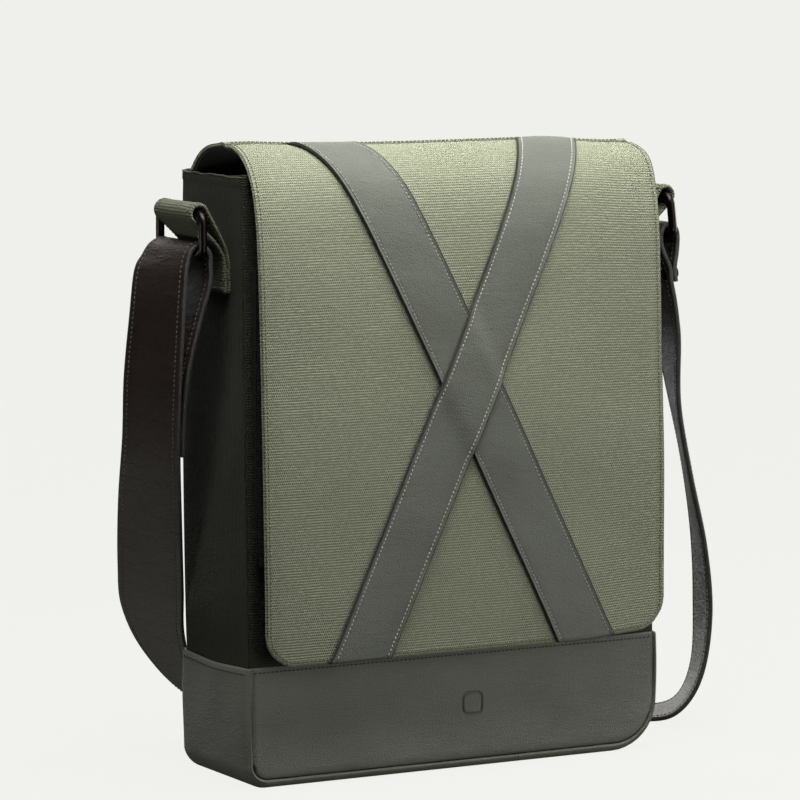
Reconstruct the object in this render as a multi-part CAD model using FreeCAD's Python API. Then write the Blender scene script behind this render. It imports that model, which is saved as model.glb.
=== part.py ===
"""Upright canvas messenger bag with a leather base, a front flap carrying two crossed leather straps,
and a leather shoulder strap hung from two rectangular rings. Millimetres, +Z up, +Y to the back.
The origin is the middle of the footprint, on the surface that the bag stands on."""

import FreeCAD
import Part
import math
import os

V = FreeCAD.Vector

# --- driving dimensions ---------------------------------------------------------------------------
BODY_W = 280.0  # outside width of the canvas body
BACK_Y = 44.0  # outer face of the back canvas
FRONT_Y_LOW = -44.0  # outer face of the front canvas where it leaves the leather
FRONT_Y_TOP = -37.0  # outer face of the front canvas at the mouth: the front leans back
BASE_H = 74.0  # height of the leather base
MOUTH_Z = 364.0  # top edge of the canvas body
CANVAS_T = 2.0
LEATHER_T = 2.5
BASE_CORNER_R = 24.0  # lower corners of the leather base
FACING_Z = 330.0  # lower edge of the canvas facing inside the mouth
FOAM_T = 4.7

FLAP_HALF_W = 138.0
FLAP_CANVAS_T = 2.2
FLAP_BOARD_T = 0.8
FLAP_LINING_T = 1.2
FLAP_CORNER_R = 20.0
FLAP_SEAM_Y = -12.0  # cross seam where the straps start, and where the flap folds
RIDGE_Z = 380.0
FLAP_END_Z = 76.0
SEAM_GAP = 0.6  # between the two parts of the flap, at the fold
FLAP_START_Z = MOUTH_Z + 0.3  # the flap is cut level where it meets the back panel

CROSS_STRAP_W = 42.0  # measured along X; 38 square across the strap
CROSS_STRAP_T = 2.0
CROSS_STRAP_X = 78.0  # half the spread of the crossed straps at their ends

STRAP_W = 50.0
STRAP_T = 3.0
TAB_Y = 2.5  # middle of the side tabs and rings
TAB_PLY = 2.2
TAB_LOW_Z = 294.0
RING_X = 160.5
RING_TOP_Z = 341.5
RING_DROP = 25.0  # between the middles of the upper and lower bars
RING_SPAN = 57.6  # between the middles of the side bars
RING_WIRE_R = 2.6
RING_LEAN = 6.5  # degrees the right ring leans outwards, pulled by the strap
RING_BEND_R = 6.0

SNAP_X = 75.0
SNAP_Z = 150.0
SNAP_R = 9.0

HALF_W = BODY_W / 2
INNER_X = HALF_W - CANVAS_T


# --- small helpers --------------------------------------------------------------------------------
def box(x0, x1, y0, y1, z0, z1):
    return Part.makeBox(x1 - x0, y1 - y0, z1 - z0, V(x0, y0, z0))


def along_x(yz_points, x0, x1):
    """Extrudes a closed outline, given as (y, z) points, from x0 to x1."""
    corners = [V(x0, y, z) for y, z in yz_points]
    face = Part.Face(Part.makePolygon(corners + corners[:1]))
    return face.extrude(V(x1 - x0, 0, 0))


def mirrored(shape):
    return shape.mirror(V(0, 0, 0), V(1, 0, 0))


def fused(shapes):
    whole = shapes[0]
    for shape in shapes[1:]:
        whole = whole.fuse(shape)
    return whole.removeSplitter()


def save(shape, name):
    if not shape.isValid():
        raise ValueError(name + " is not a valid shape")
    if len(shape.Solids) == 1:
        shape = shape.Solids[0]
    shape.exportStep("parts/" + name + ".step")
    print("%-26s solids %2d  volume %9.1f mm3" % (name, len(shape.Solids), shape.Volume))


def front_face_y(z, inset=0.0):
    """Y of the front canvas, inset mm inside its outer face."""
    rise = max(0.0, z - BASE_H) / (MOUTH_Z - BASE_H)
    return FRONT_Y_LOW + (FRONT_Y_TOP - FRONT_Y_LOW) * rise + inset


# --- leather base ---------------------------------------------------------------------------------
def base_outline(inset, top):
    """Front view of the base: a rectangle with rounded lower corners, inset mm inside the outside."""
    side = HALF_W + LEATHER_T - inset
    low = inset
    r = BASE_CORNER_R - inset
    bend = r * math.sqrt(0.5)
    left, right = -side + r, side - r
    centre_z = low + r
    edges = [
        Part.makeLine(V(-side, 0, top), V(-side, 0, centre_z)),
        Part.Arc(V(-side, 0, centre_z), V(left - bend, 0, centre_z - bend), V(left, 0, low)).toShape(),
        Part.makeLine(V(left, 0, low), V(right, 0, low)),
        Part.Arc(V(right, 0, low), V(right + bend, 0, centre_z - bend), V(side, 0, centre_z)).toShape(),
        Part.makeLine(V(side, 0, centre_z), V(side, 0, top)),
        Part.makeLine(V(side, 0, top), V(-side, 0, top)),
    ]
    return Part.Face(Part.Wire(edges))


def make_base():
    skin = LEATHER_T - 0.5
    front_y, back_y = FRONT_Y_LOW - skin, BACK_Y + skin
    band = base_outline(0, BASE_H).cut(base_outline(LEATHER_T, BASE_H))
    band = band.extrude(V(0, back_y - front_y, 0))
    band.translate(V(0, front_y, 0))
    low_part = box(-200, 200, -100, 100, -1, BASE_CORNER_R)
    bottom = band.common(low_part)
    sides = band.cut(low_part)
    panel = base_outline(LEATHER_T, BASE_H).extrude(V(0, skin, 0))
    front = panel.copy()
    front.translate(V(0, front_y, 0))
    back = panel.copy()
    back.translate(V(0, BACK_Y, 0))
    left, right = sorted(sides.Solids, key=lambda s: s.CenterOfMass.x)
    return {
        "base_front_panel": front,
        "base_back_panel": back,
        "base_side_left": left,
        "base_side_right": right,
        "base_bottom": bottom,
    }


# --- canvas body ----------------------------------------------------------------------------------
def inside_outline(inset, z0, z1, back_y):
    """Side view of the room between the front and back canvas, inset mm from the front one."""
    front = CANVAS_T + inset
    heights = [z for z in (z0, BASE_H, z1) if z0 <= z <= z1]
    return [(front_face_y(z, front), z) for z in heights] + [(back_y, z1), (back_y, z0)]


def make_canvas_body():
    low = BASE_H - 8  # the canvas runs 8 mm down behind the leather
    front = along_x(
        [
            (FRONT_Y_LOW, low),
            (FRONT_Y_LOW, BASE_H),
            (FRONT_Y_TOP, MOUTH_Z),
            (FRONT_Y_TOP + CANVAS_T, MOUTH_Z),
            (FRONT_Y_LOW + CANVAS_T, BASE_H),
            (FRONT_Y_LOW + CANVAS_T, low),
        ],
        -HALF_W,
        HALF_W,
    )
    back = box(-HALF_W, HALF_W, BACK_Y - CANVAS_T, BACK_Y, low, MOUTH_Z)
    side = inside_outline(0, low, MOUTH_Z, BACK_Y - CANVAS_T)
    return {
        "front_panel": front,
        "back_panel": back,
        "gusset_left": along_x(side, -HALF_W, -INNER_X),
        "gusset_right": along_x(side, INNER_X, HALF_W),
    }


# --- inside ---------------------------------------------------------------------------------------
LINING_T = 0.8
LINING_GAP = 0.3
LINING_LOW_Z = 6.0
LINING_X = INNER_X - LINING_GAP
LINING_BACK_Y = BACK_Y - CANVAS_T - FOAM_T - 2 * LINING_GAP  # the foam lies behind the lining
SLEEVE_Y0, SLEEVE_Y1 = 20.0, 25.0
SLEEVE_TOP_Z = 290.0
POCKET_IN_Y = -32.0  # front wall of the slip pocket inside
POCKET_IN_X = 110.0
POCKET_IN_LOW, POCKET_IN_TOP = 60.0, 200.0


def within_base(shape, inset):
    """Rounds the lower corners off, to fit inset mm inside the leather base."""
    room = base_outline(LEATHER_T + inset, MOUTH_Z).extrude(V(0, 200, 0))
    room.translate(V(0, -100, 0))
    return shape.common(room)


def make_mouth_facing():
    outside = inside_outline(0, FACING_Z, MOUTH_Z, BACK_Y - CANVAS_T)
    inside = inside_outline(1.0, FACING_Z - 1, MOUTH_Z + 1, BACK_Y - CANVAS_T - 1.0)
    return along_x(outside, -INNER_X, INNER_X).cut(along_x(inside, -INNER_X + 1, INNER_X - 1))


def make_lining():
    top = FACING_Z - LINING_GAP
    outside = inside_outline(LINING_GAP, LINING_LOW_Z, top, LINING_BACK_Y)
    inside = inside_outline(
        LINING_GAP + LINING_T, LINING_LOW_Z + LINING_T, top + 1, LINING_BACK_Y - LINING_T
    )
    x = LINING_X
    outside = within_base(along_x(outside, -x, x), LINING_GAP)
    inside = within_base(along_x(inside, -x + LINING_T, x - LINING_T), LINING_GAP + LINING_T)
    return outside.cut(inside)


def make_slip_pocket():
    """A patch pocket on the front lining: front wall, two sides and a bottom, open at the top."""
    wall = 1.0
    x, low, top = POCKET_IN_X, POCKET_IN_LOW, POCKET_IN_TOP
    inset = CANVAS_T + LINING_GAP + LINING_T + 0.1
    outline = [
        (front_face_y(low, inset), low),
        (front_face_y(BASE_H, inset), BASE_H),
        (front_face_y(top, inset), top),
        (POCKET_IN_Y + wall, top),
        (POCKET_IN_Y + wall, low),
    ]
    hollow = box(-x + wall, x - wall, -60, POCKET_IN_Y, low + wall, top + 1)
    return along_x(outline, -x, x).cut(hollow)


def make_inside():
    half = LINING_X - LINING_T - 0.4
    foam_y = LINING_BACK_Y + LINING_GAP
    foam = box(-half, half, foam_y, foam_y + FOAM_T, 8, FACING_Z - 4)
    sleeve = box(-half, half, SLEEVE_Y0, SLEEVE_Y1, 7.2, SLEEVE_TOP_Z)
    return {
        "mouth_facing": make_mouth_facing(),
        "lining": make_lining(),
        "back_foam": within_base(foam, LINING_GAP),
        "base_board": box(-114, 114, -40, 40, LEATHER_T + 0.1, LINING_LOW_Z - 0.1),
        "laptop_sleeve_panel": within_base(sleeve, LINING_GAP + LINING_T + 0.1),
        "inner_slip_pocket": make_slip_pocket(),
    }


# --- zip pocket on the sleeve panel ---------------------------------------------------------------
ZIP_Z = 238.0
ZIP_HALF = 88.0
ZIP_TRAVEL = 150.0
ZIP_FACE_Y = SLEEVE_Y0 - 1.0  # front of the pocket cloth and the zip tape
COIL_T = 1.6


def make_zip():
    cloth = box(-100, 100, ZIP_FACE_Y, SLEEVE_Y0, 90, ZIP_Z - 12.2)
    band = box(-100, 100, ZIP_FACE_Y, SLEEVE_Y0, ZIP_Z + 12.2, ZIP_Z + 30)
    cloth = Part.makeCompound([cloth, band])
    tape = box(-100, 100, ZIP_FACE_Y, SLEEVE_Y0, ZIP_Z - 12, ZIP_Z + 12)
    coil = box(-ZIP_HALF, ZIP_HALF, ZIP_FACE_Y - COIL_T, ZIP_FACE_Y - 0.05, ZIP_Z - 2.2, ZIP_Z + 2.2)
    stops = [
        box(x - 2, x + 2, ZIP_FACE_Y - 2.2, ZIP_FACE_Y - 0.05, ZIP_Z - 3, ZIP_Z + 3)
        for x in (-ZIP_HALF - 2.1, ZIP_HALF + 2.1)
    ]
    x = ZIP_HALF - 7  # the closed end
    top_y = ZIP_FACE_Y - COIL_T - 0.2
    slider = fused(
        [
            box(x - 5, x + 5, top_y - 1.2, top_y, ZIP_Z - 4.5, ZIP_Z + 4.5),
            box(x - 5, x + 5, top_y - 0.1, ZIP_FACE_Y - 0.2, ZIP_Z - 4.5, ZIP_Z - 3.2),
            box(x - 5, x + 5, top_y - 0.1, ZIP_FACE_Y - 0.2, ZIP_Z + 3.2, ZIP_Z + 4.5),
            box(x - 3.6, x - 2.6, top_y - 4.0, top_y - 1.1, ZIP_Z - 1.2, ZIP_Z + 1.2),
            box(x + 2.6, x + 3.6, top_y - 4.0, top_y - 1.1, ZIP_Z - 1.2, ZIP_Z + 1.2),
        ]
    )
    pin_y = top_y - 3.0
    pin = Part.makeCylinder(0.6, 6.0, V(x - 3.0, pin_y, ZIP_Z), V(1, 0, 0))
    slider = fused([slider, pin])
    plate = box(x - 2.2, x + 2.2, pin_y - 0.7, pin_y + 0.7, ZIP_Z - 26, ZIP_Z + 1.2)
    eye = Part.makeCylinder(0.65, 6, V(x - 3, pin_y, ZIP_Z), V(1, 0, 0))
    hole = Part.makeCylinder(1.2, 3, V(x, pin_y - 1.5, ZIP_Z - 21.5), V(0, 1, 0))
    boss = Part.makeCylinder(1.5, 4.4, V(x - 2.2, pin_y, ZIP_Z), V(1, 0, 0))
    pull = fused([plate, boss]).cut(eye).cut(hole)
    return {
        "zip_pocket_cloth": cloth,
        "zip_tape": tape,
        "zip_coil": coil,
        "zip_end_stops": Part.makeCompound(stops),
        "zip_slider": slider,
        "zip_pull": pull,
    }


# --- pocket under the flap, and the snaps ---------------------------------------------------------
POCKET_Y = -48.8  # outer face of the pocket panel
POCKET_T = 1.8
POCKET_X = 136.0
POCKET_LOW, POCKET_TOP = 133.0, 311.0


def make_front_pocket():
    wall = 1.5
    inner_y = POCKET_Y + POCKET_T
    outline = [
        (inner_y, POCKET_LOW),
        (inner_y, POCKET_TOP),
        (front_face_y(POCKET_TOP), POCKET_TOP),
        (front_face_y(POCKET_LOW), POCKET_LOW),
    ]
    hollow = box(-POCKET_X + wall, POCKET_X - wall, -60, 0, POCKET_LOW + wall, POCKET_TOP + 1)
    sockets = [
        Part.makeCylinder(SNAP_R, 2.0, V(x, POCKET_Y, SNAP_Z), V(0, -1, 0)) for x in (-SNAP_X, SNAP_X)
    ]
    return {
        "front_pocket_panel": box(-POCKET_X, POCKET_X, POCKET_Y, inner_y, POCKET_LOW, POCKET_TOP),
        "front_pocket_gusset": along_x(outline, -POCKET_X, POCKET_X).cut(hollow),
        "snap_sockets": Part.makeCompound(sockets),
    }


# --- flap -----------------------------------------------------------------------------------------
# The flap in side view, as the corners of its outer surface with the radius at each one, (y, z, r).
FLAP_TOP_PATH = [(43.5, 364.6, 0), (20.0, RIDGE_Z, 40), (FLAP_SEAM_Y + SEAM_GAP, RIDGE_Z, 0)]
FLAP_FRONT_PATH = [
    (FLAP_SEAM_Y, RIDGE_Z, 0),
    (-32.0, 379.0, 30),
    (-52.5, 350.0, 60),
    (-61.0, FLAP_END_Z, 0),
]


def offset_path(path, depth):
    """The path depth mm inside (below) it, with its radii to suit. Every corner turns the same way."""
    flat = [V(0, y, z) for y, z, _ in path]
    runs = [(b - a).normalize() for a, b in zip(flat, flat[1:])]
    inward = [V(0, -run.z, run.y) for run in runs]
    moved = []
    for i, (point, (_, _, r)) in enumerate(zip(flat, path)):
        if i == 0:
            step = inward[0] * depth
        elif i == len(path) - 1:
            step = inward[-1] * depth
        else:
            middle = inward[i - 1] + inward[i]
            step = middle * (2 * depth / middle.dot(middle))
        moved.append((point.y + step.y, point.z + step.z, max(r - depth, 0)))
    return moved


def path_edges(path):
    """Straight runs joined by tangent arcs."""
    flat = [V(0, y, z) for y, z, _ in path]
    edges, start = [], flat[0]
    for i in range(1, len(flat) - 1):
        before = (flat[i - 1] - flat[i]).normalize()
        after = (flat[i + 1] - flat[i]).normalize()
        half_turn = (math.pi - before.getAngle(after)) / 2
        reach = path[i][2] * math.tan(half_turn)
        arc_in, arc_out = flat[i] + before * reach, flat[i] + after * reach
        bisector = (before + after).normalize()
        middle = flat[i] + bisector * (path[i][2] * (1 / math.cos(half_turn) - 1))
        edges.append(Part.makeLine(start, arc_in))
        edges.append(Part.Arc(arc_in, middle, arc_out).toShape())
        start = arc_out
    edges.append(Part.makeLine(start, flat[-1]))
    return edges


def flap_layer(path, depth0, depth1, half_width):
    outer = path_edges(offset_path(path, depth0))
    inner = path_edges(offset_path(path, depth1))
    caps = [
        Part.makeLine(outer[0].Vertexes[0].Point, inner[0].Vertexes[0].Point),
        Part.makeLine(outer[-1].Vertexes[-1].Point, inner[-1].Vertexes[-1].Point),
    ]
    face = Part.Face(Part.Wire(Part.__sortEdges__(outer + inner + caps)))
    layer = face.extrude(V(2 * half_width, 0, 0))
    layer.translate(V(-half_width, 0, 0))
    return layer


def rounded_below(shape, half_width, low_z, radius):
    """Rounds the two lower corners, seen from the front."""
    block = box(-half_width, half_width, -100, 60, low_z, 420)
    corners = [e for e in block.Edges if e.BoundBox.ZMax < low_z + 0.01 and e.BoundBox.YLength > 100]
    return shape.common(block.makeFillet(radius, corners))


def above_mouth(shape):
    return shape.common(box(-200, 200, -100, 100, FLAP_START_Z, 420))


def flap_point(distance, lift):
    """(y, z) that lies distance mm down the front of the flap from the seam and lift mm outside it."""
    for edge in path_edges(FLAP_FRONT_PATH):
        if distance <= edge.Length:
            break
        distance -= edge.Length
    parameter = edge.getParameterByLength(min(distance, edge.Length))
    point, run = edge.valueAt(parameter), edge.tangentAt(parameter)
    return point.y + lift * run.z, point.z - lift * run.y


def cross_strap(lean, humps):
    """One crossed strap. lean is 1 or -1. humps gives (distance, lift) pairs of its underside."""
    length = sum(edge.Length for edge in path_edges(FLAP_FRONT_PATH))
    sections = []
    for distance, lift in humps(length):
        middle = lean * CROSS_STRAP_X * (1 - 2 * distance / length)
        low_y, low_z = flap_point(distance, lift)
        high_y, high_z = flap_point(distance, lift + CROSS_STRAP_T)
        x0, x1 = middle - CROSS_STRAP_W / 2, middle + CROSS_STRAP_W / 2
        corners = [V(x0, low_y, low_z), V(x1, low_y, low_z), V(x1, high_y, high_z), V(x0, high_y, high_z)]
        sections.append(Part.makePolygon(corners + corners[:1]))
    return Part.makeLoft(sections, True, True)


def strap_stations(length):
    ridge = [0.1, 8, 16, 24, 32, 40, 50, 60, 72]
    return ridge + [72 + (length - 72.1) * step / 4 for step in range(1, 5)]


def lying_flat(length):
    return [(distance, 0.05) for distance in strap_stations(length)]


def over_the_other(length):
    """The upper strap climbs over the lower one where they cross, halfway down."""
    half, ramp = 47.0, 10.0
    middle = length / 2
    high = CROSS_STRAP_T + 0.1
    climb = [
        (middle - half - ramp, 0.05),
        (middle - half, high),
        (middle, high),
        (middle + half, high),
        (middle + half + ramp, 0.05),
    ]
    free = [(d, 0.05) for d in strap_stations(length) if abs(d - middle) > half + ramp + 2]
    return sorted(free + climb)


def make_flap():
    canvas = FLAP_CANVAS_T
    board = canvas + FLAP_BOARD_T
    lining = board + FLAP_LINING_T
    half = FLAP_HALF_W
    front = rounded_below(flap_layer(FLAP_FRONT_PATH, 0, canvas, half), half, FLAP_END_Z - 0.4, FLAP_CORNER_R)
    stiffener = rounded_below(
        flap_layer(FLAP_FRONT_PATH, canvas, board, half - 8), half - 8, FLAP_END_Z + 8, FLAP_CORNER_R - 8
    )
    inside = rounded_below(
        flap_layer(FLAP_FRONT_PATH, board, lining, half - 0.5), half - 0.5, FLAP_END_Z, FLAP_CORNER_R
    )
    inner_y = front_of_flap_inside(lining)
    studs = [
        Part.makeCylinder(SNAP_R, 6.0, V(x, POCKET_Y - 2.4, SNAP_Z), V(0, -1, 0)).cut(inside)
        for x in (-SNAP_X, SNAP_X)
    ]
    keep = box(-200, 200, inner_y - 0.4, 0, 0, 400)
    studs = [stud.common(keep).Solids[0] for stud in studs]
    return {
        "flap_top_canvas": above_mouth(flap_layer(FLAP_TOP_PATH, 0, canvas, half)),
        "flap_top_lining": above_mouth(
            flap_layer(FLAP_TOP_PATH, canvas, canvas + FLAP_LINING_T, half - 0.5)
        ),
        "flap_front_canvas": front,
        "flap_stiffener": stiffener,
        "flap_front_lining": inside,
        "cross_strap_under": cross_strap(-1, lying_flat).cut(front),
        "cross_strap_over": cross_strap(1, over_the_other).cut(front),
        "snap_studs": Part.makeCompound(studs),
    }


def front_of_flap_inside(depth):
    """Y of the inner face of the flap at the height of the snaps."""
    (y0, z0, _), (y1, z1, _) = offset_path(FLAP_FRONT_PATH, depth)[-2:]
    return y0 + (y1 - y0) * (z0 - SNAP_Z) / (z0 - z1)


# --- tabs and rings -------------------------------------------------------------------------------
def make_tab_left():
    """Canvas tab: two plies sewn flat to the gusset, opening into a loop round the ring's upper bar."""
    centre = V(-RING_X, 0, RING_TOP_Z)
    hole_r = RING_WIRE_R + 1.65
    outer_r = hole_r + TAB_PLY
    wall, face = -HALF_W, -HALF_W - 2 * TAB_PLY
    root_high = V(wall, 0, 315)
    root_low = V(face, 0, 311)
    across = V(0.83, 0, 0.56)

    def teardrop(corners, radius):
        flank = [centre + across * radius, centre - across * radius]
        shape = Part.Face(Part.makePolygon([corners[0], flank[0], flank[1], corners[1], corners[0]]))
        disc = Part.Face(Part.Wire(Part.makeCircle(radius, centre, V(0, 1, 0))))
        return shape.fuse(disc).removeSplitter()

    loop = teardrop([root_high, root_low], outer_r)
    gap_low = V(face + 1.2, 0, 318)
    gap_high = V(face + 1.8, 0, 318.6)
    loop = loop.cut(teardrop([gap_high, gap_low], hole_r))
    root = Part.Face(
        Part.makePolygon([V(wall, 0, TAB_LOW_Z), root_high, root_low, V(face, 0, TAB_LOW_Z), V(wall, 0, TAB_LOW_Z)])
    )
    width = V(0, STRAP_W, 0)
    tab = fused([loop.extrude(width), root.extrude(width)])
    tab.translate(V(0, TAB_Y - STRAP_W / 2, 0))
    return tab


def make_ring_left():
    """Rectangular ring of round wire, hanging straight down from the tab."""
    y0, y1 = TAB_Y - RING_SPAN / 2, TAB_Y + RING_SPAN / 2
    z0, z1 = RING_TOP_Z - RING_DROP, RING_TOP_Z
    r, bend = RING_BEND_R, RING_BEND_R * (1 - math.sqrt(0.5))

    def at(y, z):
        return V(-RING_X, y, z)

    path = [
        Part.makeLine(at(TAB_Y, z0), at(y1 - r, z0)),
        Part.Arc(at(y1 - r, z0), at(y1 - bend, z0 + bend), at(y1, z0 + r)).toShape(),
        Part.makeLine(at(y1, z0 + r), at(y1, z1 - r)),
        Part.Arc(at(y1, z1 - r), at(y1 - bend, z1 - bend), at(y1 - r, z1)).toShape(),
        Part.makeLine(at(y1 - r, z1), at(y0 + r, z1)),
        Part.Arc(at(y0 + r, z1), at(y0 + bend, z1 - bend), at(y0, z1 - r)).toShape(),
        Part.makeLine(at(y0, z1 - r), at(y0, z0 + r)),
        Part.Arc(at(y0, z0 + r), at(y0 + bend, z0 + bend), at(y0 + r, z0)).toShape(),
        Part.makeLine(at(y0 + r, z0), at(TAB_Y, z0)),
    ]
    section = Part.Wire(Part.makeCircle(RING_WIRE_R, at(TAB_Y, z0), V(0, 1, 0)))
    return Part.Wire(path).makePipeShell([section], True, False)


def lean_out(ring):
    """The right ring's lower bar is pulled away from the bag."""
    ring.rotate(V(RING_X, 0, RING_TOP_Z), V(0, 1, 0), -RING_LEAN)
    return ring


# --- shoulder strap -------------------------------------------------------------------------------
# The middle line of the strap, from its folded end at the left ring, down the left side, along the
# floor behind the bag, up the right side and round the right ring: x, y, z, then in degrees how far the
# back edge is swung outwards to +X, and how far it is raised.
STRAP_ROUTE = [
    (-171.6, 17, 200, -17, 9),
    (-171.2, 14, 218, -15, 8),
    (-168.6, 9, 250, -10, 6),
    (-160.6, 5, 280, -4, 5),
    (-154.2, 2.5, 300, -1, 3),
    (-153.6, 2.5, 311, -1, 2),
    (-154.9, 2.5, 319.2, -2, 1),
    (-160.8, 2.5, 323.5, -2, 1),
    (-167.2, 2.5, 320.6, -4, 1),
    (-171, 2.6, 313.6, -7, 2),
    (-174.0, 3, 304, -12, 3),
    (-175.4, 5.5, 278, -14, 4),
    (-175.3, 12.5, 238, -17, 8),
    (-172.0, 22, 200, -18, 10),
    (-168.2, 36, 160, -20, 12),
    (-159.2, 57.2, 117, -22, 16),
    (-148.6, 76.6, 85, -19, 20),
    (-129.5, 90, 53, -13, 20),
    (-96, 101, 23, -8, 16),
    (-50.0, 108, 8, -4, 9),
    (0.0, 110.5, 3.6, 0, 2),
    (50.0, 108.5, 3.2, 11, 0),
    (104.0, 100.5, 3.2, 23, 0),
    (157.5, 76.5, 3.0, 33, 0),
    (185.0, 49.5, 3.2, 33, 0),
    (200.0, 28, 10, 32, 2),
    (210.5, 19.5, 34, 26, 4),
    (212.0, 15, 75, 20, 5),
    (205.0, 9, 120, 22, 5),
    (192.5, 4, 168, 26, 5),
    (182.0, 2.5, 212, 24, 4),
    (177.0, 2.5, 250, 14, 2),
    (173.4, 2.5, 264, 9, 1),
    (169.6, 2.5, 277, 5, 1),
    (165.9, 2.5, 288, 2, 1),
    (164.5, 2.5, 296, 1, 1),
    (160.4, 2.5, 304, 0, 1),
    (157.6, 2.5, 311, 0, 1),
    (157.7, 2.5, 317.7, 0, 0),
    (159.9, 2.5, 322, 0, 0),
    (164.3, 2.5, 323.1, 0, 0),
    (168.2, 2.5, 320.2, 0, 0),
    (169.4, 2.5, 314.5, 0, 0),
    (168.8, 2.5, 306, 0, 1),
    (167.8, 2.5, 296, 1, 1),
    (169.2, 2.5, 288, 2, 1),
]
STEPS_BETWEEN = 2
RIVET_AT = (166.85, 292.5)  # x, z of the middle of the two plies
RIVET_AXIS = V(0.985, 0, 0.172)
RIVET_SPREAD = 18.0
RIVET_R = 2.0
RIVET_HEAD_R = 4.5


def smooth(before, start, end, after, t):
    """Catmull-Rom: a curve from start to end that runs on through their neighbours."""
    return tuple(
        b + 0.5 * t * (c - a + t * (2 * a - 5 * b + 4 * c - d + t * (3 * (b - c) + d - a)))
        for a, b, c, d in zip(before, start, end, after)
    )


def strap_line():
    route = STRAP_ROUTE
    last = len(route) - 1
    line = []
    for i in range(last):
        around = [route[max(i - 1, 0)], route[i], route[i + 1], route[min(i + 2, last)]]
        line += [smooth(*around, step / STEPS_BETWEEN) for step in range(STEPS_BETWEEN)]
    return line + [route[last]]


def strap_section(point, run):
    x, y, z, swing, rise = point
    swing, rise = math.radians(swing), math.radians(rise)
    across = V(math.sin(swing) * math.cos(rise), math.cos(swing) * math.cos(rise), math.sin(rise))
    outward = across.cross(run).normalize() * (STRAP_T / 2)
    half = across * (STRAP_W / 2)
    middle = V(x, y, z)
    corners = [middle - half - outward, middle + half - outward, middle + half + outward, middle - half + outward]
    return Part.makePolygon(corners + corners[:1])


def make_strap():
    line = strap_line()
    middles = [V(*point[:3]) for point in line]
    sections, length = [], 0.0
    for i, point in enumerate(line):
        run = middles[min(i + 1, len(line) - 1)] - middles[max(i - 1, 0)]
        sections.append(strap_section(point, run))
        if i:
            length += (middles[i] - middles[i - 1]).Length
    print("shoulder strap length %.0f mm" % length)
    strap = Part.makeLoft(sections, True, True)
    rivets = []
    for y in (TAB_Y - RIVET_SPREAD, TAB_Y + RIVET_SPREAD):
        centre = V(RIVET_AT[0], y, RIVET_AT[1])
        rivets.append(
            fused(
                [
                    Part.makeCylinder(RIVET_R, 9, centre - RIVET_AXIS * 4.5, RIVET_AXIS),
                    Part.makeCylinder(RIVET_HEAD_R, 2.0, centre + RIVET_AXIS * 3.0, RIVET_AXIS),
                    Part.makeCylinder(RIVET_HEAD_R, 1.6, centre - RIVET_AXIS * 3.0, RIVET_AXIS * -1),
                ]
            )
        )
    for rivet in rivets:
        strap = strap.cut(rivet)  # the heads are pressed a little into the leather
    return {"shoulder_strap": strap, "strap_rivets": Part.makeCompound(rivets)}


# --- everything -----------------------------------------------------------------------------------
def main():
    os.makedirs("parts", exist_ok=True)
    tab, ring = make_tab_left(), make_ring_left()
    pieces = {
        "tab_left": tab,
        "tab_right": mirrored(tab),
        "ring_left": ring,
        "ring_right": lean_out(mirrored(ring)),
    }
    for group in (
        make_base(),
        make_canvas_body(),
        make_inside(),
        make_zip(),
        make_front_pocket(),
        make_flap(),
        make_strap(),
    ):
        pieces.update(group)
    for name, shape in pieces.items():
        save(shape, name)


main()
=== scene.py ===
"""Upright canvas messenger bag: leather base, flap with two crossed leather straps, leather shoulder strap.

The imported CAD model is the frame. This script builds the soft pieces over it, their stitching and small
fittings, then the materials, the light and the camera. Lengths are in millimetres until a mesh is made."""

import math

import bmesh
import bpy
import numpy as np
from mathutils import Matrix, Vector


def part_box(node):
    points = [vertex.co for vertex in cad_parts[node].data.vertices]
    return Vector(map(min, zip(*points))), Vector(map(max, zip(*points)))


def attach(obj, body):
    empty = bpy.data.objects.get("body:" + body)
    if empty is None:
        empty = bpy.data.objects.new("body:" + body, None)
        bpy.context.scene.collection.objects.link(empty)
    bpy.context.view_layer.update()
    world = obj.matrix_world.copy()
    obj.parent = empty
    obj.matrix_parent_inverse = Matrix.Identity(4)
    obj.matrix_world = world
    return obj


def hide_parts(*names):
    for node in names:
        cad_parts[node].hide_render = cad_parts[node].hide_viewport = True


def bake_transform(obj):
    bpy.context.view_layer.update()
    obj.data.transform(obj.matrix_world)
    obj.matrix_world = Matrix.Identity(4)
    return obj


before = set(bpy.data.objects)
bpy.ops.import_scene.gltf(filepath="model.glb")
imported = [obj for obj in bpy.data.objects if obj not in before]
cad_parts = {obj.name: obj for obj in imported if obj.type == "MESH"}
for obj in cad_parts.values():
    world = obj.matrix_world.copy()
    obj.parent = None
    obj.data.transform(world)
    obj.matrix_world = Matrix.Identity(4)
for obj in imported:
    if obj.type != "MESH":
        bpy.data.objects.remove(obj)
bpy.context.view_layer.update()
MM = 0.001


# --- sizes, read from the frame ---------------------------------------------------------------------
def node_box(name):
    low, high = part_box(name)
    return np.array(low) / MM, np.array(high) / MM


HALF_W, BACK_Y, MOUTH_Z = node_box("back_panel")[1]
FRONT_LOW_Y = node_box("front_panel")[0][1]
FRONT_TOP_Y = FRONT_LOW_Y + 7
BASE_TOP = node_box("base_front_panel")[1][2]
BASE_X = node_box("base_bottom")[1][0]
BASE_Y = node_box("base_back_panel")[1][1]
CANVAS = 2.0
FLAP_X = node_box("flap_front_canvas")[1][0]
FLAP_CANVAS = 2.2
SEAM_Y = -12.0
TAB_Y = 2.5
STRAP_HALF = 25.0
STRAP_T = 3.0


# --- small maths ------------------------------------------------------------------------------------
def unit(a):
    return a / np.maximum(np.linalg.norm(a, axis=-1, keepdims=True), 1e-9)


def ease(t):
    t = np.clip(t, 0, 1)
    return t * t * (3 - 2 * t)


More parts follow.
